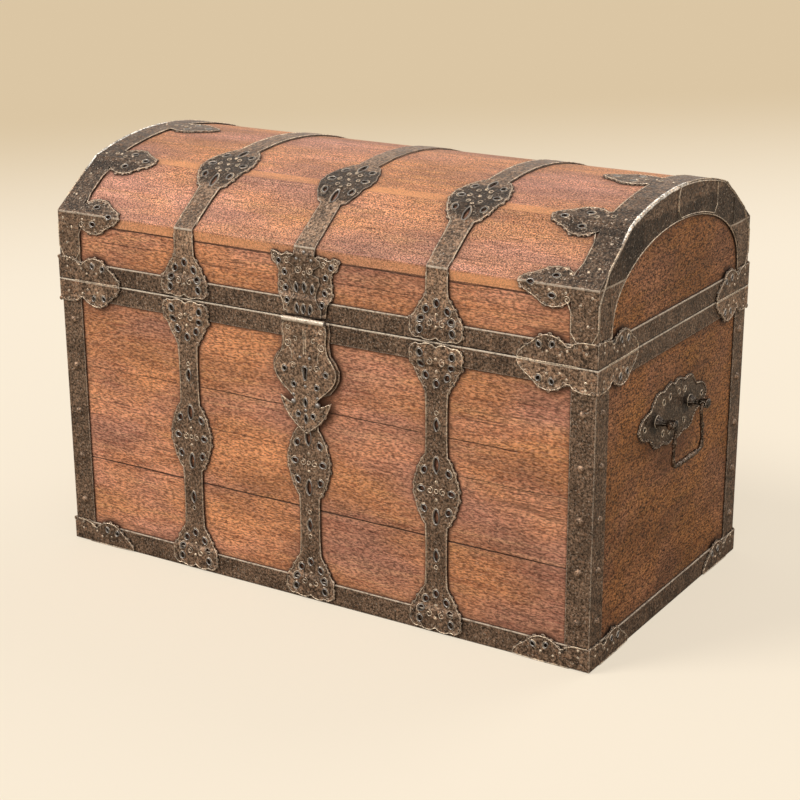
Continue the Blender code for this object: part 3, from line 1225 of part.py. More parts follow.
def build_bail(name, side):
    """A drop bail with a beaded grip; its origin is on its pivot."""
    half = bail_points()
    route = [(-across, height, thick) for across, height, thick in reversed(half)] + half
    curve = bpy.data.curves.new(name, "CURVE")
    curve.dimensions = "3D"
    curve.bevel_depth = BAIL_ROD
    curve.bevel_resolution = 1
    curve.use_fill_caps = True
    spline = curve.splines.new("POLY")
    spline.points.add(len(route) - 1)
    for point, (across, height, thick) in zip(spline.points, route):
        point.co = (0.0, across, height, 1.0)
        point.radius = thick
    curve.materials.append(material(name, WORN_IRON))
    bail = bpy.data.objects.new(name, curve)
    bail.location = (side * PIVOT_X, 0.0, HANDLE_HEIGHT)
    PARTS.objects.link(bail)
    return bail


# Joint axes
def axis_empty(name, location, parts):
    """An empty on a joint's axis that carries its parts."""
    empty = bpy.data.objects.new(name, None)
    empty.location = location
    PARTS.objects.link(empty)
    bpy.context.view_layer.update()
    for part in parts:
        part.parent = empty
        part.matrix_parent_inverse = empty.matrix_world.inverted()
    return empty


def main():
    """Build the chest and hang its moving parts on their axes."""
    build_base_boards()
    lid_parts = build_lid_boards()
    build_sill_frame()
    hoop("base_rim_hoop", BASE_HOOP_BOTTOM, HOOP_WIDTH)
    lid_parts.append(hoop("lid_rim_hoop", LID_BOTTOM, HOOP_WIDTH))
    build_corner_irons()
    lid_parts += build_corner_brackets()
    build_base_straps()
    lid_parts += build_lid_straps()
    build_hinge_leaves()
    lid_parts += build_lid_end_irons()
    build_lock_plate()
    hasp, hasp_pin = build_hasp()
    lid_parts += [build_escutcheon(), hasp_pin]
    bolt, staple = build_lock()
    lid_parts.append(staple)
    bails = []
    for name, side in (("left", -1), ("right", 1)):
        build_handle_plate("handle_plate_" + name, side)
        bails.append(build_bail("handle_bail_" + name, side))

    lid_axis = axis_empty("lid_axis", (0.0, HINGE_AXIS_Y, PARTING_HEIGHT), lid_parts)
    hasp_axis = axis_empty("hasp_axis", (0.0, HASP_AXIS_Y, PARTING_HEIGHT), [hasp])
    hasp_axis.parent = lid_axis
    hasp_axis.matrix_parent_inverse = lid_axis.matrix_world.inverted()
    bpy.context.view_layer.update()
    for part in PARTS.objects:
        for modifier in part.modifiers:
            if modifier.type == "BOOLEAN":
                modifier.object.parent = part
                modifier.object.matrix_parent_inverse = part.matrix_world.inverted()


main()
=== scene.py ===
"""Looks of an iron-bound treasure chest: old boards, forged iron, rivets, raised rims and a plain stage.

Sizes are in metres and +Z is up. +X runs along the front, which faces -Y.
"""

import json
import math
from collections import defaultdict

import bmesh
import bpy
from bpy.props import FloatProperty, FloatVectorProperty, IntProperty, PointerProperty
from bpy.types import Operator, Panel, PropertyGroup
from mathutils import Matrix, Vector
from mathutils.bvhtree import BVHTree

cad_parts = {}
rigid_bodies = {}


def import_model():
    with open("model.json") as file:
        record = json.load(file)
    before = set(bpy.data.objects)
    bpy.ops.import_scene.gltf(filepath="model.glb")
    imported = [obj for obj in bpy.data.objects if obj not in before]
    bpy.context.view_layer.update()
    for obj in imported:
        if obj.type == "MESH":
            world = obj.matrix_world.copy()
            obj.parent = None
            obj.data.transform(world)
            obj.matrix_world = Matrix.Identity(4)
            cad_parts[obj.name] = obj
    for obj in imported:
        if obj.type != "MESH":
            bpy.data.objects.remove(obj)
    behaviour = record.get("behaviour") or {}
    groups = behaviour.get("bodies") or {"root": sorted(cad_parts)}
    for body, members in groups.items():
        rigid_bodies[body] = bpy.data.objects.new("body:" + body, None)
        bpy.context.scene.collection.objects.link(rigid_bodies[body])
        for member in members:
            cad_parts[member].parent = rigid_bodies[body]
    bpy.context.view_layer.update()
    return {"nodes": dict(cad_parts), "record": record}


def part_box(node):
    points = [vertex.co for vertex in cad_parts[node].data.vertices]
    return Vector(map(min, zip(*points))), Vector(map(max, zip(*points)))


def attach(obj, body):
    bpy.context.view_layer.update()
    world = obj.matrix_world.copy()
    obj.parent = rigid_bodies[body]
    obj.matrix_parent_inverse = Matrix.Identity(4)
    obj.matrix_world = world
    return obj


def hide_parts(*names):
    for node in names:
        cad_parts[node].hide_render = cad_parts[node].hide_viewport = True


for leftover in list(bpy.data.objects):
    bpy.data.objects.remove(leftover, do_unlink=True)
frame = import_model()

bl_info = {
    "name": "Treasure Chest Looks",
    "version": (1, 0, 0),
    "blender": (4, 5, 0),
    "location": "3D View > Sidebar > Chest",
    "description": "Finishes the boards and irons of a treasure chest and sets its stage",
    "category": "Object",
}

NODES = frame["nodes"]
BODY_OF = {name: body for body, names in frame["record"]["behaviour"]["bodies"].items() for name in names}
SIDES = (-1, 1)
ENDS = ((1, "right"), (-1, "left"))
CORNERS = (("front_right", 1, -1), ("front_left", -1, -1), ("back_right", 1, 1), ("back_left", -1, 1))

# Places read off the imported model, rounded where a hole's place is compared with them
PARTING = round((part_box("base_rim_hoop")[1].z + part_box("lid_rim_hoop")[0].z) / 2, 4)
LID_HOOP_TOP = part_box("lid_rim_hoop")[1].z
SILL_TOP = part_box("sill_frame")[1].z
STRAP_PLACE = round((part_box("base_strap_right")[0].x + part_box("base_strap_right")[1].x) / 2, 4)
STRAP_PLACES = (-STRAP_PLACE, 0.0, STRAP_PLACE)
CORNER_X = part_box("sill_bracket_front_right")[1].x
CORNER_Y = -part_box("sill_bracket_front_right")[0].y

BOARD_NODES = {
    "red_board": ("base_front_board_lower", "base_front_board_upper", "lid_front_rail"),
    "pale_board": ("lid_slope_board_front_lower", "lid_slope_board_front_upper", "lid_crown_board_front",
                   "lid_crown_board_back", "lid_slope_board_back"),
    "dark_board": ("base_back_panel", "lid_back_rail"),
    "end_board": ("base_end_panel_left", "base_end_panel_right", "lid_end_board_left", "lid_end_board_right"),
    "inner_board": ("base_bottom_board",),
}
# The first row whose words a node's name starts with gives its finish
IRON_NODES = (
    (("base_rim_hoop", "lid_rim_hoop"), "hoop_iron"),
    # Pins and bolt take the bright iron: rubbed wear and painted highlight
    (("hinge_pin", "hasp_pin", "lock_bolt"), "bright_iron"),
    (("corner_iron", "sill_frame"), "corner_iron"),
    (("hasp", "lid_strap_middle"), "hasp_iron"),
    (("handle_plate",), "handle_iron"),
    (("lid_end_iron",), "end_iron"),
    (("lid_strap",), "strap_iron"),
    (("",), "plate_iron"),
)
ORNAMENTAL_NODES = ("base_strap", "lid_strap", "lid_end_iron", "sill_bracket", "base_rim_bracket",
                    "lid_rim_bracket", "hasp", "lid_escutcheon", "handle_plate")
BASE_STRAPS = ("base_strap_left", "base_strap_middle", "base_strap_right")
LID_STRAPS = ("lid_strap_left", "lid_strap_middle", "lid_strap_right")


# Sizes and colours
def length(name, description, default, low, high):
    """A length for the user to set."""
    return FloatProperty(name=name, description=description, default=default, min=low, max=high,
                         unit="LENGTH")


def colour(name, description, default):
    """A colour for the user to set."""
    return FloatVectorProperty(name=name, description=description, default=(*default, 1.0), min=0.0, max=1.0,
                               size=4, subtype="COLOR")


class ChestSizes(PropertyGroup):
    """Sizes of the small pieces."""

    iron_edge: length("Iron Edge", "Width of the rounded edge of an iron plate", 0.0006, 0.0001, 0.002)
    rivet_radius: length("Rivet Radius", "Radius of a corner iron's rivet head", 0.0070, 0.003, 0.012)
    rivet_height: length("Rivet Height", "Height of a rivet head over its plate", 0.0047, 0.001, 0.008)
    stud_radius: length("Stud Radius", "Radius of a small stud on a medallion", 0.0032, 0.001, 0.006)
    stud_height: length("Stud Height", "Height of a small stud", 0.0019, 0.0005, 0.004)
    nail_radius: length("Nail Radius", "Radius of a nail head on a bracket or end iron", 0.0024, 0.001, 0.005)
    nail_height: length("Nail Height", "Height of a nail head", 0.0013, 0.0005, 0.003)
    rim_radius: length("Rim Radius", "Radius of the raised rim round a hole", 0.0011, 0.0004, 0.002)
    bead_radius: length(
        "Bead Radius", "Radius of the raised bead along an ornamental outline", 0.0010, 0.0004, 0.002)
    scroll_radius: length("Scroll Radius", "Radius of the raised scrolls and rings", 0.0009, 0.0004, 0.002)
    lobe_radius: length("Lobe Radius", "Radius of a large lobe on an ornamental edge", 0.0040, 0.002, 0.007)
    lobe_spacing: length(
        "Lobe Spacing", "Distance from one lobe to the next along an edge", 0.0078, 0.004, 0.020)
    # The corner bead is rubbed iron painted near-white as a highlight
    corner_bead: length(
        "Corner Bead", "Radius of the rubbed bead on the lid end irons' arched corner", 0.0036, 0.001, 0.005)
    bail_rod: length("Bail Rod", "Radius of the rod of a handle's bail", 0.0029, 0.002, 0.006)
    dome_segments: IntProperty(
        name="Dome Segments", description="Sides of a rivet's round head", default=20, min=8, max=48)


class ChestColours(PropertyGroup):
    """Colours of the boards, the irons and the stage."""

    red_board: colour("Front Boards", "Reddish brown of the front boards", (0.540, 0.240, 0.132))
    # The lid boards' colour is partly their own pale red and partly painted light on the lid's upper faces
    pale_board: colour("Lid Boards", "Bleached red of the lid boards", (0.486, 0.226, 0.134))
    dark_board: colour("Back Boards", "Brown of the back boards", (0.24, 0.105, 0.052))
    # The end boards' colour is partly their own dark brown and partly painted shade on the ends
    end_board: colour("End Boards", "Dark brown of the end boards", (0.258, 0.111, 0.047))
    inner_board: colour("Inner Boards", "Plain wood of the bottom board", (0.33, 0.19, 0.11))
    worn_board: colour("Worn Wood", "Pale orange of worn board edges", (0.82, 0.370, 0.165))
    dark_iron: colour("Dark Iron", "Brown-black of the deep patina", (0.078, 0.048, 0.030))
    grey_iron: colour("Grey Iron", "Grey-brown of handled iron", (0.285, 0.184, 0.120))
    # Also the colour of the painted glints and of the painted highlight on rubbed edges and bands
    rubbed_iron: colour("Rubbed Iron", "Bare metal on rubbed edges", (0.88, 0.74, 0.59))
    floor_near: colour("Near Floor", "Cream of the floor round the chest", (0.975, 0.866, 0.703))
    floor_far: colour("Far Floor", "Beige of the floor far behind the chest", (0.715, 0.575, 0.385))


# Procedural finishes
class Wiring:
    """A node tree that is being wired."""

    def __init__(self, tree):
        self.tree = tree

    def node(self, kind, inputs=None, **settings):
        """A new node with its settings and what goes into it."""
        made = self.tree.nodes.new(kind)
        for name, setting in settings.items():
            setattr(made, name, setting)
        for name, value in (inputs or {}).items():
            self.feed(made.inputs[name], value)
        return made

    def feed(self, socket, value):
        """A value or another node's output into a socket."""
        if isinstance(value, bpy.types.NodeSocket):
            self.tree.links.new(value, socket)
        else:
            socket.default_value = value

    def math(self, operation, first, second=0.0, third=0.0):
        """A calculation with one to three values."""
        made = self.node("ShaderNodeMath", operation=operation)
        for socket, value in zip(made.inputs, (first, second, third)):
            self.feed(socket, value)
        return made.outputs[0]

    def times(self, first, second):
        """The product of two values."""
        return self.math("MULTIPLY", first, second)

    def off(self, value, middle):
        """How far a value is from a middle."""
        return self.math("ABSOLUTE", self.math("SUBTRACT", value, middle))

    def span(self, value, low, high, start=0.0, end=1.0):
        """A value's range eased onto another range."""
        inputs = {"Value": value, "From Min": low, "From Max": high, "To Min": start, "To Max": end}
        return self.node("ShaderNodeMapRange", inputs, interpolation_type="SMOOTHSTEP").outputs["Result"]

    def within(self, value, low, high, before, after, fade):
        """One from low to high: eased in from before low to after it, and out over a fade round high."""
        return self.times(self.span(value, low - before, low + after),
                          self.span(value, high + fade, high - fade))

    def mix(self, share, first, second, blend="MIX"):
        """A blend of two colours."""
        inputs = {"Factor": share, "A": first, "B": second}
        return self.node("ShaderNodeMix", inputs, data_type="RGBA", blend_type=blend).outputs["Result"]

    def shade(self, tone, factor):
        """A colour made lighter or darker by a factor from the nodes."""
        made = self.node("ShaderNodeVectorMath", operation="SCALE")
        self.feed(made.inputs[0], tone[:3] if isinstance(tone, tuple) else tone)
        self.feed(made.inputs["Scale"], factor)
        return made.outputs[0]


class Finish(Wiring):
    """A material whose nodes are being wired."""

    def __init__(self, name):
        self.material = bpy.data.materials.new(name)
        self.material.use_nodes = True
        super().__init__(self.material.node_tree)
        self.shader = self.tree.nodes["Principled BSDF"]
        self.place = self.node("ShaderNodeTexCoord").outputs["Object"]
        self.axes = self.node("ShaderNodeSeparateXYZ", {"Vector": self.place}).outputs

    def surface(self, **inputs):
        """Values or nodes' outputs into the shader, by its sockets' names with _ for a space."""
        for name, value in inputs.items():
            self.feed(self.shader.inputs[name.replace("_", " ")], value)

    def stretched(self, stretch, shift=(0.0, 0.0, 0.0)):
        """Object coordinates stretched along the axes."""
        inputs = {"Vector": self.place, "Scale": stretch, "Location": shift}
        return self.node("ShaderNodeMapping", inputs).outputs["Vector"]

    def noise(self, stretch, detail=3.0, roughness=0.55, distortion=0.0, shift=(0.0, 0.0, 0.0)):
        """Noise with so many waves to the metre along each axis."""
        inputs = {"Vector": self.stretched(stretch, shift), "Scale": 1.0, "Detail": detail,
                  "Roughness": roughness, "Distortion": distortion}
        return self.node("ShaderNodeTexNoise", inputs).outputs["Fac"]

    def even_noise(self, waves, detail, roughness, shift=(0.0, 0.0, 0.0)):
        """Noise that is the same along every axis."""
        return self.noise((waves, waves, waves), detail, roughness, shift=shift)

    def worn_edge(self, radius, start, end):
        """One on convex and concave edges, from the turn of the rounded normal."""
        rounded = self.node("ShaderNodeBevel", {"Radius": radius}, samples=6)
        turn = self.node("ShaderNodeVectorMath", operation="DOT_PRODUCT")
        self.feed(turn.inputs[0], rounded.outputs["Normal"])
        self.feed(turn.inputs[1], self.node("ShaderNodeNewGeometry").outputs["Normal"])
        return self.span(turn.outputs["Value"], start, end)

    def crevice(self, distance, start, end):
        """One where something stands close by, from the share of open air."""
        air = self.node("ShaderNodeAmbientOcclusion", {"Distance": distance}, samples=6)
        return self.span(air.outputs["AO"], start, end)

    def relief(self, height, depth):
        """Bump the surface by a height."""
        bump = self.node("ShaderNodeBump", {"Strength": 1.0, "Distance": depth, "Height": height})
        self.surface(Normal=bump.outputs["Normal"])


def tinted(tone, red, green=None, blue=None):
    """A colour with its channels scaled, all alike where one factor is given."""
    factors = (red, green or red, blue or red)
    return (*(min(channel * factor, 1.0) for channel, factor in zip(tone, factors)), 1.0)


def crack_of(finish, height, start, end, width=0.0011, sway=0.0035):
    """One on a thin wavering crack along X at a height, between two places."""
    waver = finish.noise((9.0, 0.0, 0.0), detail=4.0, shift=(height * 31, height * 17, 0.0))
    drift = finish.math("MULTIPLY_ADD", waver, sway * 2, height - sway)
    line = finish.span(finish.off(finish.axes["Z"], drift), width, width * 0.25)
    reach = (end - start) / 2
    along = finish.off(finish.axes["X"], start + reach)
    return finish.times(line, finish.span(along, reach, reach * 0.82))


def board_finish(name, base, worn, grain="X", cracks=(), speckle=0.34, bands=(), painted_side_light=0.0,
                 grit=(330.0, 420.0, 420.0), wear=1.0):
    """Old wood: streaks along the grain, mottling, specks, cracks, painted light and shade along the boards, worn
    edges, and dirt and painted shade by the irons.
    """
    finish = Finish(name)
    shapes = [(4.5, 90.0, 90.0), (26.0, 300.0, 300.0), (5.0, 15.0, 15.0), (1.5, 34.0, 34.0)]
    if grain == "Y":
        shapes = [(cross, run, cross) for run, cross, _ in shapes]
    streak_shape, fine_shape, cloud_shape, hair_shape = shapes
    streak = finish.noise(streak_shape, detail=4.0, roughness=0.62, distortion=0.3)
    fine = finish.noise(fine_shape, detail=2.0, roughness=0.6)
    cloud = finish.noise(cloud_shape, detail=4.0, roughness=0.6)
    speck = finish.noise(grit, detail=2.0, roughness=0.75)
    hair = finish.noise(hair_shape, detail=3.0, roughness=0.55, shift=(1.0, 2.0, 5.0))
    hair = finish.times(finish.span(finish.off(hair, 0.5), 0.012, 0.003), finish.span(cloud, 0.50, 0.60))

    paint = grained(finish, base, streak, fine, cloud)
    paint = speckled(finish, paint, base, speck, speckle, grit, painted_side_light)
    paint = finish.mix(finish.times(hair, 0.55), paint, tinted(base, 0.25))
    paint = weathered(finish, paint, base, tinted(worn, wear), streak, cloud, speck, bands)

    height = finish.math("MULTIPLY_ADD", fine, 0.35, finish.times(speck, 0.3))
    height = finish.math("MULTIPLY_ADD", streak, 0.5, height)
    height = finish.math("MULTIPLY_ADD", hair, -0.3, height)
    for crack in cracks:
        line = crack_of(finish, *crack)
        paint = finish.mix(finish.times(line, 0.88), paint, tinted(base, 0.13))
        height = finish.math("MULTIPLY_ADD", line, -1.2, height)
    rough = finish.span(streak, 0.3, 0.7, 0.52, 0.74)
    finish.surface(Base_Color=paint, Roughness=rough, Specular_IOR_Level=0.35)
    finish.relief(height, 0.0014)
    return finish.material


def grained(finish, base, streak, fine, cloud):
    """The wood's colour with its mottling and its light and dark grain."""
    deep = tinted(base, 0.55, 0.44, 0.42)
    paint = finish.mix(finish.span(cloud, 0.32, 0.68), tinted(base, 0.68), tinted(base, 1.30))
    paint = finish.mix(finish.span(streak, 0.50, 0.70, 0.0, 0.6), paint, tinted(base, 1.16, 1.34, 1.22))
    paint = finish.mix(finish.span(streak, 0.46, 0.30, 0.0, 0.55), paint, deep)
    return finish.mix(finish.span(fine, 0.47, 0.30, 0.0, 0.75), paint, deep)


def speckled(finish, paint, base, speck, speckle, grit, painted_side_light):
    """Wood with light and dark specks, warm and cool patches, painted light towards the left end and painted
    shade towards the right end below the crown, chalk and soot.
    """
    specks = finish.span(speck, 0.34, 0.66, max(0.12, 1 - speckle * 1.15), 1 + speckle * 1.35)
    paint = finish.shade(paint, specks)
    tone = finish.noise((2.6, 7.0, 7.0), detail=3.0, roughness=0.55, shift=(4.0, 9.0, 2.0))
    cast = finish.mix(finish.span(tone, 0.36, 0.62), (0.96, 0.97, 1.14, 1.0), (1.05, 1.0, 0.80, 1.0))
    paint = finish.mix(1.0, paint, cast, blend="MULTIPLY")
    # Painted light and shade: lighter towards the left end and darker towards the right end, below the crown
    if painted_side_light:
        along = finish.span(finish.axes["X"], -0.5, 0.5, painted_side_light, -painted_side_light)
        below = finish.span(finish.axes["Z"], 0.705, 0.680)
        paint = finish.shade(paint, finish.math("MULTIPLY_ADD", along, below, 1.0))
    chalk = finish.noise([waves * 0.8 for waves in grit], detail=2.0, roughness=0.7, shift=(3.0, 7.0, 11.0))
    chalk = finish.span(chalk, 0.54, 0.68, 0.0, min(0.75, 0.25 + speckle * 0.8))
    paint = finish.mix(chalk, paint, tinted(base, 1.5, 1.75, 1.9))
    darkening = finish.noise([waves * 0.55 for waves in grit], detail=3.0, roughness=0.7, shift=(13.0, 2.0, 4.0))
    darkening = finish.span(darkening, 0.55, 0.70, 0.0, 0.15 + speckle * 0.5)
    return finish.mix(darkening, paint, tinted(base, 0.55, 0.44, 0.42))


def weathered(finish, paint, base, worn, streak, cloud, speck, bands):
    """Wood with worn edges and bands, a mottled dark halo near the irons that is dirt and painted shade, and
    painted shade right by them and in the seams.
    """
    rubbed = finish.times(finish.worn_edge(0.0022, 0.97, 0.80), finish.span(streak, 0.35, 0.6, 0.45, 1.0))
    paint = finish.mix(finish.times(rubbed, 0.75), paint, worn)
    for axis, low, high in bands:
        band = finish.within(finish.axes[axis], low, high, 0.001, 0.002, 0.003)
        band = finish.times(band, finish.span(finish.axes["Y"], -0.12, -0.15))
        band = finish.times(band, finish.span(cloud, 0.30, 0.62, 0.45, 0.95))
        paint = finish.mix(band, paint, finish.shade(worn, finish.span(speck, 0.3, 0.7, 0.75, 1.2)))
    # A mottled dark halo near the irons: dirt and painted shade
    dirt_and_shade_halo = finish.times(finish.crevice(0.060, 0.985, 0.80), finish.span(cloud, 0.25, 0.65, 0.25, 0.75))
    paint = finish.mix(dirt_and_shade_halo, paint, tinted(base, 0.50))
    # Painted shade close by the irons and in their holes
    paint = finish.mix(finish.times(finish.crevice(0.022, 0.95, 0.64), 0.88), paint, tinted(base, 0.17))
    # Painted shadow: near-black lines where the irons meet the boards and in the seams
    return finish.mix(finish.times(finish.crevice(0.0050, 0.86, 0.42), 0.92), paint, tinted(base, 0.06))


# Cracks as height, start and end along the front, and width where it isn't the usual one
FRONT_CRACKS = (
    (0.3410, -0.235, -0.03), (0.3425, 0.03, 0.225), (0.3410, 0.255, 0.40), (0.3400, -0.48, -0.27, 0.0006),
    (0.2700, -0.225, -0.05, 0.0006), (0.2810, 0.28, 0.48, 0.0006), (0.1660, -0.48, 0.50, 0.0013),
    (0.5960, -0.50, 0.50, 0.0012), (0.5640, 0.03, 0.21, 0.0006), (0.5700, -0.45, -0.27, 0.0006))
# Worn bands are given as axis, lowest and highest place, and the side light as one share of painted light at the
# left end and of painted shade at the right end
BOARD_LOOKS = {
    "red_board": dict(cracks=FRONT_CRACKS, speckle=0.50, painted_side_light=0.10, grit=(130.0, 400.0, 400.0)),
    "pale_board": dict(speckle=0.95, painted_side_light=0.16, grit=(400.0, 560.0, 560.0),
                       bands=(("Z", 0.5985, 0.6135), ("Y", -0.1790, -0.1600))),
    "dark_board": dict(),
    "end_board": dict(grain="Y", speckle=1.05, grit=(300.0, 185.0, 370.0), wear=0.5),
    "inner_board": dict(speckle=0.25),
}

# Heights of the rubbed lip under the parting, which is wear and painted highlight, with its strength, of the
# shadow over it, and of the fold where the irons turn onto the lid's slope; depths of the shoulder medallions
LIP = (PARTING - 0.0026, PARTING, 1.0)
SHUT_SHADOW = (PARTING + 0.0001, PARTING + 0.0020)
FOLD = (0.6143, 0.6172)
SHOULDER_FRONT, SHOULDER_BACK = -0.204, -0.120


def iron_finish(name, dark, grey, rubbed, share, wear=1.0, roughness=0.46, bands=(), shaded=(SHUT_SHADOW,),
                metal=0.62, glint=0.7, crevice_shade=0.88, light_zones=(), stud_shadows=()):
    """Forged iron: mottled patina with painted light and shade in zones, specks, painted glints, pits, painted
    shade in the crevices, the studs' painted shadows, and bare rubbed edges that are also painted highlights.
    """
    finish = Finish(name)
    mottle = finish.even_noise(115.0, 4.0, 0.65)
    speck = finish.even_noise(240.0, 3.0, 0.78)
    paint = patina(finish, dark, grey, share, mottle, speck, light_zones)
    # Painted glints: bright specks of the rubbed colour
    spark = finish.even_noise(330.0, 2.0, 0.7, (5.0, 1.0, 8.0))
    spark = finish.span(spark, 0.57, 0.68, 0.0, glint)
    spark = finish.times(spark, finish.span(mottle, 0.40, 0.60, 0.15, 1.0))
    paint = finish.mix(spark, paint, tinted(rubbed, 0.8))
    # Painted shade in the crevices and along the edges of raised parts
    paint = finish.mix(finish.times(finish.crevice(0.007, 0.90, 0.42), crevice_shade), paint, tinted(dark, 0.22))
    paint = shadowed_by_studs(finish, paint, dark, mottle, stud_shadows)
    # Bare rubbed edges and bands: wear and painted highlight
    bare = rubbed_and_highlit_share(finish, mottle, wear, bands)
    paint = finish.mix(bare, paint, rubbed)
    for low, high in shaded:
        shadow = finish.within(finish.axes["Z"], low, high, 0.0002, 0.0003, 0.0007)
        paint = finish.mix(finish.times(shadow, 0.88), paint, tinted(dark, 0.22))
    rough = finish.span(mottle, 0.3, 0.7, roughness - 0.08, roughness + 0.12)
    finish.surface(Base_Color=paint, Metallic=finish.math("MULTIPLY_ADD", bare, -metal * 0.6, metal),
                   Roughness=finish.math("MULTIPLY_ADD", bare, -0.12, rough))
    waves = finish.stretched((150.0, 150.0, 150.0))
    pits = finish.node("ShaderNodeTexVoronoi", {"Vector": waves, "Scale": 1.0})
    height = finish.times(finish.span(pits.outputs["Distance"], 0.05, 0.34), 0.35)
    height = finish.math("MULTIPLY_ADD", speck, 0.6, height)
    finish.relief(finish.math("MULTIPLY_ADD", mottle, 0.9, height), 0.0013)
    return finish.material


def patina(finish, dark, grey, share, mottle, speck, light_zones):
    """Dark and grey iron with rust and specks, with painted light in the zones whose factor is above one and
    painted shade in those whose factor is below one.
    """
    cloud = finish.even_noise(30.0, 5.0, 0.65)
    paint = finish.mix(finish.span(cloud, 0.30, 0.70, share - 0.30, share + 0.30), dark, grey)
    rust = (dark[0] * 1.8, dark[1] * 1.3, dark[2] * 0.95, 1.0)
    paint = finish.mix(finish.span(mottle, 0.50, 0.70, 0.0, 0.5), paint, rust)
    paint = finish.shade(paint, finish.span(speck, 0.35, 0.65, 0.22, 1.92))
    paint = finish.shade(paint, finish.span(mottle, 0.34, 0.66, 0.72, 1.28))
    # Painted light where a zone's factor is above one, painted shade where it is below
    for axis, low, high, factor in light_zones:
        zone = finish.within(finish.axes[axis], low, high, 0.004, 0.004, 0.004)
        paint = finish.shade(paint, finish.math("MULTIPLY_ADD", zone, factor - 1.0, 1.0))
    return paint


def shadowed_by_studs(finish, paint, dark, mottle, stud_shadows):
    """Iron with the studs' round painted shadows on its end face, each with its depth, height and radius."""
    for place, height, radius in stud_shadows:
        aside = finish.math("SUBTRACT", finish.axes["Y"], place)
        above = finish.math("SUBTRACT", finish.axes["Z"], height)
        away = finish.math("SQRT", finish.math("MULTIPLY_ADD", aside, aside, finish.times(above, above)))
        darkening = finish.span(away, radius, radius * 0.45)
        darkening = finish.times(darkening, finish.span(mottle, 0.30, 0.60, 1.0, 0.7))
        paint = finish.mix(darkening, paint, tinted(dark, 0.18))
    return paint


def rubbed_and_highlit_share(finish, mottle, wear, bands):
    """How bare the iron is, as wear and painted highlight: on its edges, and in bands at a height, each with its
    strength.
    """
    edge = finish.worn_edge(0.0026, 0.980, 0.85)
    bare = finish.times(finish.times(edge, finish.span(mottle, 0.32, 0.54, 0.35, 1.0)), wear)
    for low, high, strength in bands:
        band = finish.within(finish.axes["Z"], low, high, 0.0004, 0.0004, 0.0004)
        band = finish.times(band, finish.span(mottle, 0.34, 0.52, strength * 0.45, strength))
        bare = finish.math("MAXIMUM", bare, band)
    return bare


# Rubbed bands, which are wear and painted highlight, are given as lowest and highest height and strength, zones
# of painted light and shade as axis, lowest and highest place and factor, the studs' painted shadows as depth,
# height and radius, and the crevice strength as that of the painted shade in crevices
IRON_LOOKS = {
    "hoop_iron": dict(share=0.42, wear=0.95, roughness=0.50,
                      bands=(LIP, (LID_HOOP_TOP - 0.0020, LID_HOOP_TOP + 0.0008, 0.8))),
    "plate_iron": dict(share=0.56, wear=0.90, bands=(LIP, (*FOLD, 0.75)),
                       light_zones=(("Z", 0.440, PARTING, 1.40), ("X", -0.300, 0.120, 1.15))),
    "strap_iron": dict(share=0.56, wear=0.90, bands=(LIP, (*FOLD, 0.75)), glint=0.8,
                       light_zones=(("Y", SHOULDER_FRONT, SHOULDER_BACK, 0.28), ("Z", 0.550, 0.612, 1.85),
                              ("Y", SHOULDER_BACK, 0.100, 1.20))),
    "corner_iron": dict(share=0.50, roughness=0.48, bands=((SILL_TOP - 0.0018, SILL_TOP + 0.0010, 0.8),)),
    "hasp_iron": dict(share=0.84, wear=0.9, roughness=0.44, shaded=((PARTING + 0.0046, PARTING + 0.0082),),
                      bands=((PARTING - 0.0046, PARTING + 0.0040, 1.0), (*FOLD, 0.75)),
                      light_zones=(("Y", SHOULDER_FRONT, SHOULDER_BACK, 0.26), ("Z", 0.505, 0.614, 0.72),
                             ("Z", 0.300, 0.492, 1.20), ("Z", 0.617, 0.690, 0.85))),
    "end_iron": dict(share=0.54, wear=0.30, bands=(LIP, (*FOLD, 0.6)), glint=0.8,
                     light_zones=(("Z", 0.6175, 0.690, 0.45), ("Y", SHOULDER_FRONT, -0.140, 0.55),
                            ("Z", 0.700, 0.760, 0.86), ("Z", 0.500, 0.6175, 1.10))),
    "rivet_iron": dict(share=0.85, wear=0.35, roughness=0.40, shaded=(), crevice_shade=0.5),
    # Raised and bright details: rubbed wear and painted highlight
    "raised_iron": dict(share=0.58, wear=0.7, roughness=0.40, shaded=(), metal=0.50, crevice_shade=0.35),
    "bright_iron": dict(share=0.80, wear=0.6, roughness=0.34, shaded=(), metal=0.40, crevice_shade=0.15),
    "bare_iron": dict(share=0.90, roughness=0.55, shaded=(), metal=0.0, crevice_shade=0.1, glint=0.3),
    # The handle's plate carries the painted shadows of its two studs
    "handle_iron": dict(share=0.50, roughness=0.32, shaded=(), glint=1.0,
                        stud_shadows=((-0.074, 0.350, 0.026), (0.052, 0.350, 0.026))),
    "bail_iron": dict(share=0.45, roughness=0.24, shaded=(), glint=1.0, metal=0.72),
}


def iron_of(kind):
    """One of the chest's iron finishes, made once."""
    made = bpy.data.materials.get(kind)
    if made:
        return made
    colours = bpy.context.scene.chest_colours
    dark, grey, rubbed = tuple(colours.dark_iron), tuple(colours.grey_iron), tuple(colours.rubbed_iron)
    # Lighter copies of the iron for raised details, rims, studs, balls and pins: rubbed wear and painted
    # highlight
    if kind in ("raised_iron", "bright_iron"):
        dark, grey = tinted(grey, 0.85), tinted(rubbed, 0.92, 0.86, 0.76)
    # Near-white for the corner bead: rubbed metal with a painted highlight
    elif kind == "bare_iron":
        dark, grey, rubbed = (0.84, 0.75, 0.65, 1.0), (0.96, 0.91, 0.83, 1.0), (1.0, 0.96, 0.90, 1.0)
    elif kind in ("handle_iron", "bail_iron"):
        dark, grey = tinted(dark, 0.40), tinted(grey, 0.80)
    return iron_finish(kind, dark, grey, rubbed, **IRON_LOOKS[kind])


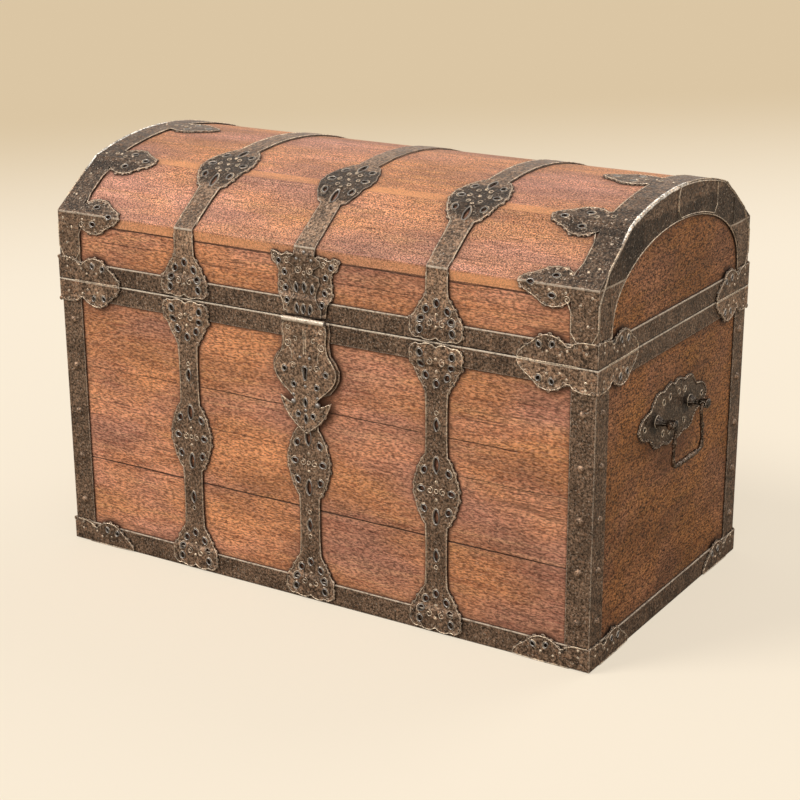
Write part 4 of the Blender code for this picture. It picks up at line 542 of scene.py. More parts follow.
def floor_finish(near, far):
    """Plain paper, cream round the chest and beige behind it, that glows a little for the camera."""
    finish = Finish("floor_paper")
    away = finish.math("ADD", finish.times(finish.axes["X"], -0.70), finish.times(finish.axes["Y"], 0.72))
    paper = finish.mix(finish.span(away, 1.7, 4.9), near, far)
    seen = finish.node("ShaderNodeLightPath").outputs["Is Camera Ray"]
    finish.surface(Base_Color=finish.shade(paper, 0.37), Roughness=1.0, Specular_IOR_Level=0.0,
                   Emission_Color=paper, Emission_Strength=finish.times(seen, 0.63))
    return finish.material


# Handling objects: the largest turns that are shaded smooth, in degrees
HEAD_CREASE = 40.0
LOBE_CREASE = 50.0
BEAD_CREASE = 60.0


def deselect():
    """Select nothing, in object mode."""
    if bpy.context.object and bpy.context.object.mode != "OBJECT":
        bpy.ops.object.mode_set(mode="OBJECT")
    bpy.ops.object.select_all(action="DESELECT")


def pick(obj):
    """Select one object alone and make it active."""
    deselect()
    obj.select_set(True)
    bpy.context.view_layer.objects.active = obj


def paint_with(obj, material):
    """Give an object one material alone."""
    obj.data.materials.clear()
    obj.data.materials.append(material)


def dress(obj, name, body, kind, crease=BEAD_CREASE):
    """Name a finished piece, settle it at the origin, give it an iron finish and let it ride on its body."""
    pick(obj)
    bpy.ops.object.transform_apply(location=True, rotation=True, scale=True)
    obj.name = name
    obj.data.name = name
    paint_with(obj, iron_of(kind))
    bpy.ops.object.shade_smooth_by_angle(angle=math.radians(crease))
    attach(obj, body)


def dome(radius, height, segments, rings, skirt=0.0):
    """A domed head, seated at the origin, its top towards +Z, with a straight skirt below if wanted."""
    deselect()
    bpy.ops.mesh.primitive_uv_sphere_add(segments=segments, ring_count=rings, radius=1.0)
    bpy.ops.object.mode_set(mode="EDIT")
    bpy.ops.mesh.select_all(action="SELECT")
    bpy.ops.mesh.bisect(plane_co=(0.0, 0.0, 0.0), plane_no=(0.0, 0.0, 1.0), clear_inner=True, use_fill=True)
    bpy.ops.mesh.select_all(action="SELECT")
    bpy.ops.transform.resize(value=(radius, radius, height), center_override=(0.0, 0.0, 0.0))
    if skirt:
        bpy.ops.mesh.select_mode(type="FACE")
        bpy.ops.mesh.select_all(action="DESELECT")
        shape = bmesh.from_edit_mesh(bpy.context.object.data)
        for face in shape.faces:
            face.select_set(len(face.verts) == segments and abs(face.calc_center_median().z) < 0.00001)
        bmesh.update_edit_mesh(bpy.context.object.data)
        bpy.ops.mesh.extrude_region_move(TRANSFORM_OT_translate={"value": (0.0, 0.0, -skirt)})
        bpy.ops.mesh.select_all(action="SELECT")
    bpy.ops.mesh.normals_make_consistent(inside=False)
    bpy.ops.object.mode_set(mode="OBJECT")
    return bpy.context.object


def copies(master, places):
    """The master copied to each place, each copy with its own mesh, and all joined into one object."""
    made = []
    for place in places:
        twin = master.copy()
        twin.data = master.data.copy()
        bpy.context.scene.collection.objects.link(twin)
        twin.matrix_world = place
        made.append(twin)
    bpy.data.objects.remove(master)
    bpy.context.view_layer.update()
    deselect()
    for twin in made:
        twin.select_set(True)
    bpy.context.view_layer.objects.active = made[0]
    bpy.ops.object.join()
    return bpy.context.object


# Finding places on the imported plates
FAR = 1.0
# The start of lines onto the ends and the end irons. The end iron's ridge is an edge of two facets, where the
# start decides which one a ring lies on.
FARTHER = 2.0


def stand(point, normal):
    """A place on a surface with +Z along its normal."""
    tilt = Vector((0.0, 0.0, 1.0)).rotation_difference(Vector(normal)).to_matrix().to_4x4()
    return Matrix.Translation(point) @ tilt


def surface_of(*names):
    """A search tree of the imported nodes' faces."""
    points, faces = [], []
    for name in names:
        mesh = NODES[name].data
        start = len(points)
        points += [vert.co.copy() for vert in mesh.vertices]
        faces += [[start + index for index in face.vertices] for face in mesh.polygons]
    return BVHTree.FromPolygons(points, faces)


def seat(tree, start, direction):
    """Where a line from a start first meets the surface, as a place to stand on."""
    point, normal, _, _ = tree.ray_cast(Vector(start), Vector(direction))
    if point is None:
        raise RuntimeError(f"nothing to stand on below {tuple(start)}")
    if normal.dot(Vector(direction)) > 0:
        normal = -normal
    return stand(point, normal)


def long_side_seat(tree, across, height, deep=-1):
    """A place on the front, or on the back where deep is 1."""
    return seat(tree, (across, deep * FAR, height), (0.0, -deep, 0.0))


def end_seat(tree, side, depth, height):
    """A place on the right end, or on the left one where side is -1."""
    return seat(tree, (side * FARTHER, depth, height), (-side, 0.0, 0.0))


def top_seat(tree, across, depth, high=FAR):
    """A place on the lid's top, below a line's start at a height."""
    return seat(tree, (across, depth, high), (0.0, 0.0, -1.0))


# Raised rims and beads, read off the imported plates: their thickness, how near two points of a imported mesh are
# one, a place inside the chest, and how high over a plate a probing line starts
PLATE = 0.0025
NEAR_POINTS = 0.00002
CHEST_HEART = Vector((0.0, 0.0, 0.36))
PROBE = 0.001
# How far a lobe is set in from its plate's edge, how far in and out of the edge is looked, and how far an arc
# is laid from its hole
LOBE_INSET, EDGE_LOOK, ARC_GAP = 0.0010, 0.0008, 0.0030
# Past this place along the front the holes are those of the end irons
END_IRON_START = 0.45


def outer_faces(mesh):
    """The faces of a plate that look away from the chest and have the plate's thickness behind them."""
    tree = BVHTree.FromBMesh(mesh)
    outer = set()
    for face in mesh.faces:
        normal = face.normal
        if normal.length < 0.5:
            continue
        centre = face.calc_center_median()
        inner = CHEST_HEART + Vector((centre.x * 0.9 if abs(normal.x) < 0.5 else 0.0, 0.0, 0.0))
        if (centre - inner).dot(normal) <= 0:
            continue
        point, facing, _, distance = tree.ray_cast(centre - normal * 0.0001, -normal)
        if point is not None and facing.dot(normal) < -0.9 and PLATE * 0.6 < distance < PLATE * 1.5:
            outer.add(face)
    return outer


def plate_loops(name):
    """The closed outlines of a plate's outer side: lists of points, and which way the plate faces at each."""
    mesh = bmesh.new()
    mesh.from_mesh(NODES[name].data)
    bmesh.ops.remove_doubles(mesh, verts=mesh.verts, dist=NEAR_POINTS)
    mesh.normal_update()
    mesh.faces.ensure_lookup_table()
    outer = outer_faces(mesh)
    rim = [edge for edge in mesh.edges
           if len(edge.link_faces) == 2 and sum(face in outer for face in edge.link_faces) == 1
           and edge.calc_face_angle(0.0) > 0.9]
    links, facings = defaultdict(list), {}
    for edge in rim:
        for vert in edge.verts:
            links[vert].append(edge)
            facings[vert] = next(face for face in edge.link_faces if face in outer).normal.copy()
    loops, seen = [], set()
    for edge in rim:
        if edge in seen:
            continue
        start = edge.verts[0]
        vert, step, chain, facing = start, edge, [], []
        while step and step not in seen:
            seen.add(step)
            chain.append(vert.co.copy())
            facing.append(facings[vert])
            vert = step.other_vert(vert)
            step = next((other for other in links[vert] if other not in seen), None)
        if vert is start and len(chain) > 2:
            loops.append((chain, facing))
    mesh.free()
    return loops


def perimeter(loop):
    """Length of a closed loop."""
    return sum((after - before).length for before, after in zip(loop, loop[1:] + loop[:1]))


def softened(loop, spacing=0.0008):
    """A closed loop without near doubles, its corners cut once."""
    kept = []
    for point in loop:
        if not kept or (point - kept[-1]).length > spacing:
            kept.append(point)
    if len(kept) > 3 and (kept[0] - kept[-1]).length <= spacing:
        kept.pop()
    cut = []
    for before, after in zip(kept, kept[1:] + kept[:1]):
        cut += [before.lerp(after, 0.27), before.lerp(after, 0.73)]
    return cut


def grown(loop, by):
    """A closed loop moved outwards from its middle."""
    middle = sum(loop, Vector()) / len(loop)
    return [point + (point - middle).normalized() * by for point in loop]


def round_loop(place, radius, count=12):
    """A closed round loop on a place's own plane."""
    angles = [step * 2 * math.pi / count for step in range(count)]
    return [place @ Vector((radius * math.cos(angle), radius * math.sin(angle), 0.0)) for angle in angles]


def curl(place, side, radius, start, turns, steps=20):
    """A scroll that winds inwards on a place's own plane, thickest halfway, mirrored where side is -1."""
    points = []
    for step in range(steps + 1):
        share = step / steps
        angle = start + turns * 2 * math.pi * share
        reach = radius * (1 - 0.74 * share)
        point = place @ Vector((side * reach * math.cos(angle), reach * math.sin(angle), 0.0))
        points.append((*point, 0.75 + 0.45 * math.sin(math.pi * share)))
    return points


def on_plate(tree, point, normal):
    """Whether the plate lies right under a point."""
    return tree.ray_cast(point + normal * PROBE, -normal, 2 * PROBE)[0] is not None


def edge_lobes(chain, facing, tree, spacing, allowed):
    """Places for lobes along a plate's outline, each with whether it is an odd one."""
    places, left, odd = [], spacing * 0.5, False
    for index, start in enumerate(chain):
        end, normal = chain[(index + 1) % len(chain)], facing[index]
        reach = (end - start).length
        if reach < 0.00001:
            continue
        along = (end - start) / reach
        out = along.cross(normal)
        while left < reach:
            point = start + along * left
            left += spacing
            if not allowed(point):
                continue
            for way in (out, -out):
                inside = on_plate(tree, point - way * EDGE_LOOK, normal)
                if inside and not on_plate(tree, point + way * EDGE_LOOK, normal):
                    places.append((odd, stand(point - way * LOBE_INSET, normal)))
                    odd = not odd
        left -= reach
    return places


def hole_arc(chain, normal, tree):
    """A thin arc beside a hole, on the side away from its strap, where the plate carries it."""
    loop = grown(softened(softened(chain)), ARC_GAP)
    middle = sum(loop, Vector()) / len(loop)
    strap = min(STRAP_PLACES, key=lambda place: abs(place - middle.x))
    side = math.copysign(1.0, middle.x - strap)
    if abs(middle.x) > END_IRON_START:
        side = -math.copysign(1.0, middle.x)
    away = Vector((side, 0.0, 0.35))
    kept = [(point - middle).dot(away) > -EDGE_LOOK and on_plate(tree, point, normal) for point in loop]
    if not any(kept) or all(kept):
        return None
    start = next(index for index in range(len(loop)) if kept[index] and not kept[index - 1])
    arc = []
    while kept[start % len(loop)] and len(arc) < len(loop):
        arc.append((*loop[start % len(loop)], 1.0))
        start += 1
    return arc if len(arc) > 3 else None


# Where scalloped outlines begin and end: off the floor, the parting and a strap's straight stretch, below the
# hasp, inside an end iron's plain edge, on the hasp's lower tip and on the escutcheon's upper part
PLAIN_EDGE = 0.0060
STRAP_REACH = 0.0215
HASP_FOOT = 0.2960
WING_ROOT = 0.4740
HASP_TIP = 0.3480
SHIELD_START = 0.5310


def ornamental(name, point):
    """Whether a plate's outline is scalloped here."""
    if point.z < PLAIN_EDGE or abs(point.z - PARTING) < PLAIN_EDGE:
        return False
    if "strap" in name:
        off_strap = min(abs(point.x - place) for place in STRAP_PLACES) > STRAP_REACH
        under_hasp = name == "base_strap_middle" and point.z > HASP_FOOT
        return off_strap and point.y < 0.0 and not under_hasp
    if name.startswith("lid_end_iron"):
        return abs(point.x) < WING_ROOT
    if name == "hasp":
        return point.z < HASP_TIP
    if name == "lid_escutcheon":
        return point.z > SHIELD_START
    return True


def bead_of(loops, radius, resolution=1, closed=True):
    """Round beads along loops, as one mesh object."""
    curve = bpy.data.curves.new("bead", "CURVE")
    curve.dimensions = "3D"
    curve.bevel_depth = radius
    curve.bevel_resolution = resolution
    curve.use_fill_caps = not closed
    for loop in loops:
        spline = curve.splines.new("POLY")
        spline.points.add(len(loop) - 1)
        for target, point in zip(spline.points, loop):
            target.co = (*point[:3], 1.0)
            target.radius = point[3] if len(point) > 3 else 1.0
        spline.use_cyclic_u = closed
    bead = bpy.data.objects.new("bead", curve)
    bpy.context.scene.collection.objects.link(bead)
    pick(bead)
    bpy.ops.object.convert(target="MESH")
    bead = bpy.context.object
    bpy.ops.object.mode_set(mode="EDIT")
    bpy.ops.mesh.select_all(action="SELECT")
    bpy.ops.mesh.remove_doubles(threshold=0.00001)
    bpy.ops.mesh.normals_make_consistent(inside=False)
    bpy.ops.object.mode_set(mode="OBJECT")
    return bead


# Operators
class CHEST_OT_finish_boards(Operator):
    """Give every board its old wood finish"""

    bl_idname = "chest.finish_boards"
    bl_label = "Finish Boards"

    def execute(self, context):
        colours = context.scene.chest_colours
        for kind, names in BOARD_NODES.items():
            base, worn = tuple(getattr(colours, kind)), tuple(colours.worn_board)
            made = board_finish(kind, base, worn, **BOARD_LOOKS[kind])
            for name in names:
                paint_with(NODES[name], made)
        return {"FINISHED"}


class CHEST_OT_finish_irons(Operator):
    """Round the edges of every iron and give it a forged finish"""

    bl_idname = "chest.finish_irons"
    bl_label = "Finish Irons"

    def execute(self, context):
        boards = {name for names in BOARD_NODES.values() for name in names}
        for name, node in NODES.items():
            if name in boards or name.startswith("handle_bail"):
                continue
            paint_with(node, iron_of(next(kind for words, kind in IRON_NODES if name.startswith(words))))
            weld = node.modifiers.new("weld", "WELD")
            weld.merge_threshold = NEAR_POINTS
            edge = node.modifiers.new("rounded_edge", "BEVEL")
            edge.width = context.scene.chest_sizes.iron_edge
            edge.segments = 2
            edge.limit_method = "ANGLE"
            edge.angle_limit = math.radians(38)
            edge.use_clamp_overlap = True
        return {"FINISHED"}


class CHEST_OT_add_rivets(Operator):
    """Put a round head over every rivet of the corner irons"""

    bl_idname = "chest.add_rivets"
    bl_label = "Add Rivet Heads"

    def execute(self, context):
        sizes = context.scene.chest_sizes
        low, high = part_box("corner_iron_front_right")
        cad_head_height, rows, end_space, setback = 0.0045, 5, 0.041, 0.0225
        face_x, face_y = high.x - cad_head_height, -(low.y + cad_head_height)
        gap = (high.z - low.z - 2 * end_space) / (rows - 1)
        places = []
        for _, side, deep in CORNERS:
            for row in range(rows):
                height = low.z + end_space + gap * row
                places.append(stand((side * (face_x - setback), deep * face_y, height), (0.0, deep, 0.0)))
                places.append(stand((side * face_x, deep * (face_y - setback), height), (side, 0.0, 0.0)))
        head = dome(sizes.rivet_radius, sizes.rivet_height, sizes.dome_segments, 10)
        dress(copies(head, places), "rivet_heads", "base", "rivet_iron", HEAD_CREASE)
        return {"FINISHED"}


class CHEST_OT_add_studs(Operator):
    """Set small studs on the medallions of the straps"""

    bl_idname = "chest.add_studs"
    bl_label = "Add Medallion Studs"

    # Heights on the front and depths on the lid's top; the middle strap has no medallion at the parting
    base_heights = (0.0270, 0.0480, 0.2325, 0.2635)
    base_rim_heights = (0.4480, 0.4690)
    lid_rim_heights = (0.5210, 0.5400)
    lid_depths = (-0.1800, -0.1560, -0.1335)

    def execute(self, context):
        base, lid = surface_of(*BASE_STRAPS), surface_of(*LID_STRAPS)
        base_places, lid_places = [], []
        for place in STRAP_PLACES:
            heights = self.base_heights + (self.base_rim_heights if place else ())
            base_places += [long_side_seat(base, place, height) for height in heights]
            if place:
                lid_places += [long_side_seat(lid, place, height) for height in self.lid_rim_heights]
            lid_places += [top_seat(lid, place, depth) for depth in self.lid_depths]
        sizes = context.scene.chest_sizes
        for body, places in (("base", base_places), ("lid", lid_places)):
            head = dome(sizes.stud_radius, sizes.stud_height, 12, 6)
            dress(copies(head, places), f"{body}_strap_studs", body, "raised_iron", HEAD_CREASE)
        return {"FINISHED"}


class CHEST_OT_add_nails(Operator):
    """Drive nails through the brackets and the end irons"""

    bl_idname = "chest.add_nails"
    bl_label = "Add Nails"

    # Distances from the chest's corner: with the height over a bracket's foot, the height, and the depth
    bracket_marks = ((0.020, 0.022), (0.020, 0.034), (0.064, 0.014), (0.086, 0.017), (0.052, 0.022))
    wing_marks = ((0.020, 0.560), (0.033, 0.590), (0.058, 0.606), (0.086, 0.608), (0.014, 0.604))
    top_marks = ((0.020, -0.255), (0.034, -0.262), (0.060, -0.268), (0.020, -0.215), (0.020, -0.170),
                 (0.052, -0.166), (0.080, -0.170), (0.020, 0.0), (0.052, 0.006), (0.080, -0.006),
                 (0.020, 0.170), (0.020, 0.255))

    def execute(self, context):
        sizes = context.scene.chest_sizes
        marks = {"base": [], "lid": []}
        for level, body, way in (("sill", "base", 1), ("base_rim", "base", -1), ("lid_rim", "lid", 1)):
            low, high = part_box(f"{level}_bracket_front_right")
            foot = low.z if way > 0 else high.z
            for corner, side, deep in CORNERS:
                tree = surface_of(f"{level}_bracket_{corner}")
                for along, rise in self.bracket_marks:
                    height = foot + way * rise
                    marks[body].append(long_side_seat(tree, side * (CORNER_X - along), height, deep))
                    marks[body].append(end_seat(tree, side, deep * (CORNER_Y - along), height))
        for side, word in ENDS:
            tree = surface_of(f"lid_end_iron_{word}")
            for along, height in self.wing_marks:
                for deep in SIDES:
                    marks["lid"].append(long_side_seat(tree, side * (CORNER_X - along), height, deep))
            for along, depth in self.top_marks:
                marks["lid"].append(top_seat(tree, side * (CORNER_X - along), depth, FARTHER))
        for body, places in marks.items():
            head = dome(sizes.nail_radius, sizes.nail_height, 8, 4)
            dress(copies(head, places), f"{body}_nails", body, "raised_iron", HEAD_CREASE)
        return {"FINISHED"}


class CHEST_OT_add_rims(Operator):
    """Lay a raised rim round every hole and a bead along the ornamental outlines"""

    bl_idname = "chest.add_rims"
    bl_label = "Add Rims And Beads"

    # The longest outlines of a hole, and of an opening between an end iron's wings, which gets no bead
    hole, opening = 0.085, 0.40
    rim_gap, arc_share, handle_lobe_spacing = 0.0007, 0.8, 0.0062
    # A lobe's height, sides and rings; how deep a lobe's skirt goes; a handle lobe with its radius first
    lobe, skirt, handle_lobe = (0.0008, 8, 4), 0.0022, (0.0026, 0.0014, 6, 4)

    def execute(self, context):
        sizes = context.scene.chest_sizes
        rims, outlines, arcs, lobes = (defaultdict(list) for _ in range(4))
        handle_loops, handle_lobes = [], []
        for name in NODES:
            if name == "hasp_pin" or not name.startswith(ORNAMENTAL_NODES):
                continue
            body, tree = BODY_OF[name], surface_of(name)
            for chain, facing in plate_loops(name):
                around = perimeter(chain)
                if name.startswith("handle_plate"):
                    handle_loops.append(softened(chain))
                    if around > self.hole:
                        found = edge_lobes(chain, facing, tree, self.handle_lobe_spacing, lambda point: True)
                        handle_lobes += [place for _, place in found]
                elif around < self.hole:
                    rims[body].append(grown(softened(chain), self.rim_gap))
                    arc = hole_arc(chain, facing[0], tree)
                    if arc:
                        arcs[body].append(arc)
                elif not name.startswith("lid_end_iron") or around > self.opening:
                    outlines[body].append(softened(chain, 0.0012))
                    lobes[body] += edge_lobes(
                        chain, facing, tree, sizes.lobe_spacing, lambda point: ornamental(name, point))
        for body, loops in rims.items():
            dress(bead_of(loops, sizes.rim_radius), f"{body}_hole_rims", body, "bright_iron")
        for body, loops in outlines.items():
            dress(bead_of(loops, sizes.bead_radius), f"{body}_outline_beads", body, "raised_iron")
        for body, loops in arcs.items():
            bead = bead_of(loops, sizes.scroll_radius * self.arc_share, closed=False)
            dress(bead, f"{body}_hole_arcs", body, "raised_iron")
        dress(bead_of(handle_loops, sizes.bead_radius), "handle_plate_beads", "base", "raised_iron")
        for body, found in lobes.items():
            for odd, word, share in ((False, "large", 1.0), (True, "small", 0.62)):
                places = [place for kind, place in found if kind == odd]
                if places:
                    lobe = dome(sizes.lobe_radius * share, *self.lobe, self.skirt)
                    dress(copies(lobe, places), f"{body}_{word}_lobes", body, "plate_iron", LOBE_CREASE)
        lobe = dome(*self.handle_lobe, self.skirt)
        dress(copies(lobe, handle_lobes), "handle_plate_lobes", "base", "handle_iron", LOBE_CREASE)
        return {"FINISHED"}


class CHEST_OT_add_scrolls(Operator):
    """Raise scrolls, rings, balls and studs on the hasp, the escutcheon, the medallions and the wings"""

    bl_idname = "chest.add_scrolls"
    bl_label = "Add Scrolls And Rings"

    # Scrolls on both sides of the middle: place across, height, radius, start angle in radians and turns
    hasp_curls = ((0.0335, 0.4540, 0.0078, 1.9, 1.5), (0.0330, 0.4810, 0.0050, 2.6, 1.2),
                  (0.0235, 0.4165, 0.0060, 0.2, 1.4), (0.0180, 0.4620, 0.0052, 0.9, 0.9))
    urn_curls = ((0.0118, 0.5790, 0.0072, 2.2, 1.5),)
    shield_curls = ((0.0360, 0.5900, 0.0062, 0.4, 1.3), (0.0600, 0.5960, 0.0045, 2.0, 1.0))
    # Scrolls of the medallions and the wings: radius, start angle and turns
    front_curl, shoulder_curl, wing_curl = (0.0064, 1.6, 1.2), (0.0052, 1.2, 1.1), (0.0060, 0.6, 1.2)
    # Places across and heights on the hasp, the escutcheon and the urn
    groove_across, groove_heights = 0.0020, (0.4380, 0.4460, 0.4560, 0.4680, 0.4800)
    face_height = 0.4500
    stem = ((0.0300, 0.4460), (0.0262, 0.4400), (0.0250, 0.4330), (0.0270, 0.4260))
    hasp_ring, ball_place = (0.0110, 0.4160), (0.0240, 0.3540)
    hasp_studs = ((0.0, 0.3830), (-0.0240, 0.3660), (0.0240, 0.3660), (0.0095, 0.4320), (-0.0095, 0.4320),
                  (0.0, 0.3420))
    shield_ring, urn_ring = (0.0470, 0.5500), (0.0, 0.5740)
    urn_stud, urn_top_stud = (0.0145, 0.5960), (0.0, 0.6085)
    # Distances from a strap's middle line on the front and over the shoulder, heights and depths
    front_off, shoulder_off, shoulder_ring_off = 0.0120, 0.0190, 0.0110
    shoulder_depth, shoulder_ring_depths, lid_rim_height = -0.1560, (-0.1730, -0.1390), 0.5270
    base_heights, base_rim_height = (0.0330, 0.2479), 0.4640
    base_ring_heights, outer_ring_height, middle_ring_height = (0.2479, 0.1160), 0.3800, 0.1600
    # Distances from the chest's corner with depths or a height
    wing_rings = ((0.0420, -0.1660), (0.0660, -0.1740), (0.0420, 0.0), (0.0660, 0.0))
    wing_place = (0.0560, 0.5960)
    # Radii of rings; a ball with radius, height, sides, rings and skirt, and a stud without one
    small_ring, strap_ring, top_ring, large_ring = 0.0030, 0.0034, 0.0036, 0.0050
    ball, stud = (0.0050, 0.0038, 16, 8, 0.0022), (0.0030, 0.0018, 12, 6)

    def execute(self, context):
        radius = context.scene.chest_sizes.scroll_radius
        self.raise_all("hasp", radius, *self.on_hasp())
        self.raise_all("lid", radius, *self.on_lid())
        self.raise_all("base", radius, *self.on_base())
        return {"FINISHED"}

    def raise_all(self, body, radius, strokes, rings, balls=(), studs=()):
        """Make a body's scrolls, rings, balls and studs."""
        dress(bead_of(strokes, radius, closed=False), f"{body}_scrolls", body, "raised_iron")
        dress(bead_of(rings, radius), f"{body}_rings", body, "raised_iron")
        for word, head, places in (("balls", self.ball, balls), ("studs", self.stud, studs)):
            if places:
                dress(copies(dome(*head), places), f"{body}_{word}", body, "bright_iron", HEAD_CREASE)

    @staticmethod
    def curls(tree, side, table):
        """A table's scrolls on one side of the middle."""
        return [curl(long_side_seat(tree, side * across, height), side, *shape)
                for across, height, *shape in table]

    def on_hasp(self):
        """Strokes, rings, balls and studs of the hasp."""
        hasp = surface_of("hasp")
        strokes, balls = [], []
        ball_across, ball_height = self.ball_place
        for side in SIDES:
            strokes += self.curls(hasp, side, self.hasp_curls)
            face = long_side_seat(hasp, side * self.groove_across, self.face_height).translation
            strokes.append([(face.x, face.y, height, 1.0) for height in self.groove_heights])
            strokes.append([(side * across, face.y, height, 1.0) for across, height in self.stem])
            balls.append(stand((side * ball_across, face.y, ball_height), (0.0, -1.0, 0.0)))
        rings = [round_loop(long_side_seat(hasp, *self.hasp_ring), self.small_ring)]
        studs = [long_side_seat(hasp, across, height) for across, height in self.hasp_studs]
        return strokes, rings, balls, studs

    def on_lid(self):
        """Strokes, rings and studs of the urn, the escutcheon, the lid straps and the end irons' wings."""
        urn, shield = surface_of("lid_strap_middle"), surface_of("lid_escutcheon")
        straps = surface_of(*LID_STRAPS)
        strokes, rings, studs = [], [], []
        ring_across, ring_height = self.shield_ring
        stud_across, stud_height = self.urn_stud
        for side in SIDES:
            strokes += self.curls(urn, side, self.urn_curls) + self.curls(shield, side, self.shield_curls)
            spot = long_side_seat(shield, side * ring_across, ring_height)
            rings.append(round_loop(spot, self.large_ring, count=14))
            studs.append(long_side_seat(urn, side * stud_across, stud_height))
        rings.append(round_loop(long_side_seat(urn, *self.urn_ring), self.small_ring))
        studs.append(long_side_seat(urn, *self.urn_top_stud))
        for place in STRAP_PLACES:
            for side in SIDES:
                for depth in self.shoulder_ring_depths:
                    spot = top_seat(straps, place + side * self.shoulder_ring_off, depth)
                    rings.append(round_loop(spot, self.top_ring))
                spot = top_seat(straps, place + side * self.shoulder_off, self.shoulder_depth)
                strokes.append(curl(spot, side, *self.shoulder_curl))
                if place:
                    spot = long_side_seat(straps, place + side * self.front_off, self.lid_rim_height)
                    strokes.append(curl(spot, side, *self.front_curl))
        wing_along, wing_height = self.wing_place
        for side, word in ENDS:
            wings = surface_of(f"lid_end_iron_{word}")
            for along, depth in self.wing_rings:
                spot = top_seat(wings, side * (CORNER_X - along), depth, FARTHER)
                rings.append(round_loop(spot, self.strap_ring))
            spot = long_side_seat(wings, side * (CORNER_X - wing_along), wing_height)
            strokes.append(curl(spot, -side, *self.wing_curl))
        return strokes, rings, (), studs

    def on_base(self):
        """Strokes and rings of the base straps' medallions."""
        straps = surface_of(*BASE_STRAPS)
        strokes, rings = [], []
        for place in STRAP_PLACES:
            for side in SIDES:
                for height in self.base_heights + ((self.base_rim_height,) if place else ()):
                    spot = long_side_seat(straps, place + side * self.front_off, height)
                    strokes.append(curl(spot, side, *self.front_curl))
            upper = self.outer_ring_height if place else self.middle_ring_height
            for height in (*self.base_ring_heights, upper):
                rings.append(round_loop(long_side_seat(straps, place, height), self.strap_ring))
        return strokes, rings


class CHEST_OT_add_corner_beads(Operator):
    """Lay the rubbed bead, painted near-white as a highlight, along the arched outer corner of the lid's end
    irons
    """

    bl_idname = "chest.add_corner_beads"
    bl_label = "Add Corner Beads"

    inset, steps = 0.0026, 36
    start_depth, end_depth = -0.2300, 0.0550

    def execute(self, context):
        radius = context.scene.chest_sizes.corner_bead
        strokes = []
        for side, word in ENDS:
            iron = surface_of(f"lid_end_iron_{word}")
            low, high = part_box(f"lid_end_iron_{word}")
            across = high.x - self.inset if side > 0 else low.x + self.inset
            stroke = []
            for step in range(self.steps + 1):
                share = step / self.steps
                depth = self.start_depth + (self.end_depth - self.start_depth) * share
                top = top_seat(iron, across, depth).translation
                thick = min(1.0, 0.40 + share * 2.6, 0.30 + (1 - share) * 3.4)
                sway = 0.88 + 0.10 * math.sin(step * 2.3) + 0.06 * math.sin(step * 5.1)
                stroke.append((across, depth, top.z - radius * 0.55, thick * sway))
            strokes.append(stroke)
        bead = bead_of(strokes, radius, resolution=2, closed=False)
        dress(bead, "lid_corner_beads", "lid", "bare_iron")
        return {"FINISHED"}


class CHEST_OT_make_bails(Operator):
    """Make the two drop handles with their beaded grips"""

    bl_idname = "chest.make_bails"
    bl_label = "Make Bails"

    pivot_height = 0.349
    beads, bead_steps, reach, drop = 7, 6, 0.040, 0.076
    # From the grip's end to the stud: place across, height over the pivot and share of the rod's radius
    arm = ((0.0400, -0.0760, 1.10), (0.0455, -0.0757, 1.12), (0.0505, -0.0744, 1.25), (0.0542, -0.0720, 1.42),
           (0.0560, -0.0690, 1.50), (0.0568, -0.0640, 1.30), (0.0571, -0.0590, 1.05), (0.0568, -0.0530, 0.98),
           (0.0562, -0.0465, 0.98), (0.0556, -0.0400, 1.05), (0.0548, -0.0375, 1.35), (0.0546, -0.0350, 1.50),
           (0.0543, -0.0325, 1.35), (0.0538, -0.0300, 1.05), (0.0528, -0.0250, 1.0), (0.0512, -0.0200, 1.0),
           (0.0498, -0.0150, 1.0), (0.0491, -0.0100, 1.0), (0.0490, -0.0050, 1.0), (0.0494, -0.0031, 1.0),
           (0.0505, -0.0015, 1.0), (0.0521, -0.0004, 1.0), (0.0540, 0.0, 1.0), (0.0740, 0.0, 1.0),
           (0.0742, 0.0, 1.4), (0.0750, 0.0, 1.70), (0.0765, 0.0, 1.75), (0.0780, 0.0, 1.60),
           (0.0790, 0.0, 0.9))

    def execute(self, context):
        rod = context.scene.chest_sizes.bail_rod
        half = self.half_grip() + list(self.arm)
        route = [(-across, height, thick) for across, height, thick in reversed(half)] + half
        for word in ("left", "right"):
            low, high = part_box(f"handle_bail_{word}")
            x, y = (low.x + high.x) / 2, (low.y + high.y) / 2
            points = [(x, y + across, self.pivot_height + height, thick) for across, height, thick in route]
            bail = bead_of([points], rod, resolution=4, closed=False)
            dress(bail, f"bail_{word}_rod", f"bail_{word}", "bail_iron")
            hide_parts(f"handle_bail_{word}")
        return {"FINISHED"}

    def half_grip(self):
        """The beads of half a grip, from its middle outwards."""
        half = []
        pitch = 2 * self.reach / self.beads
        for bead in range(self.beads // 2, self.beads):
            for step in range(self.bead_steps):
                along = step / self.bead_steps
                across = -self.reach + pitch * (bead + along)
                if across > 0.0001:
                    half.append((across, -self.drop, 1.05 + 0.66 * math.sin(math.pi * along) ** 0.7))
        return half


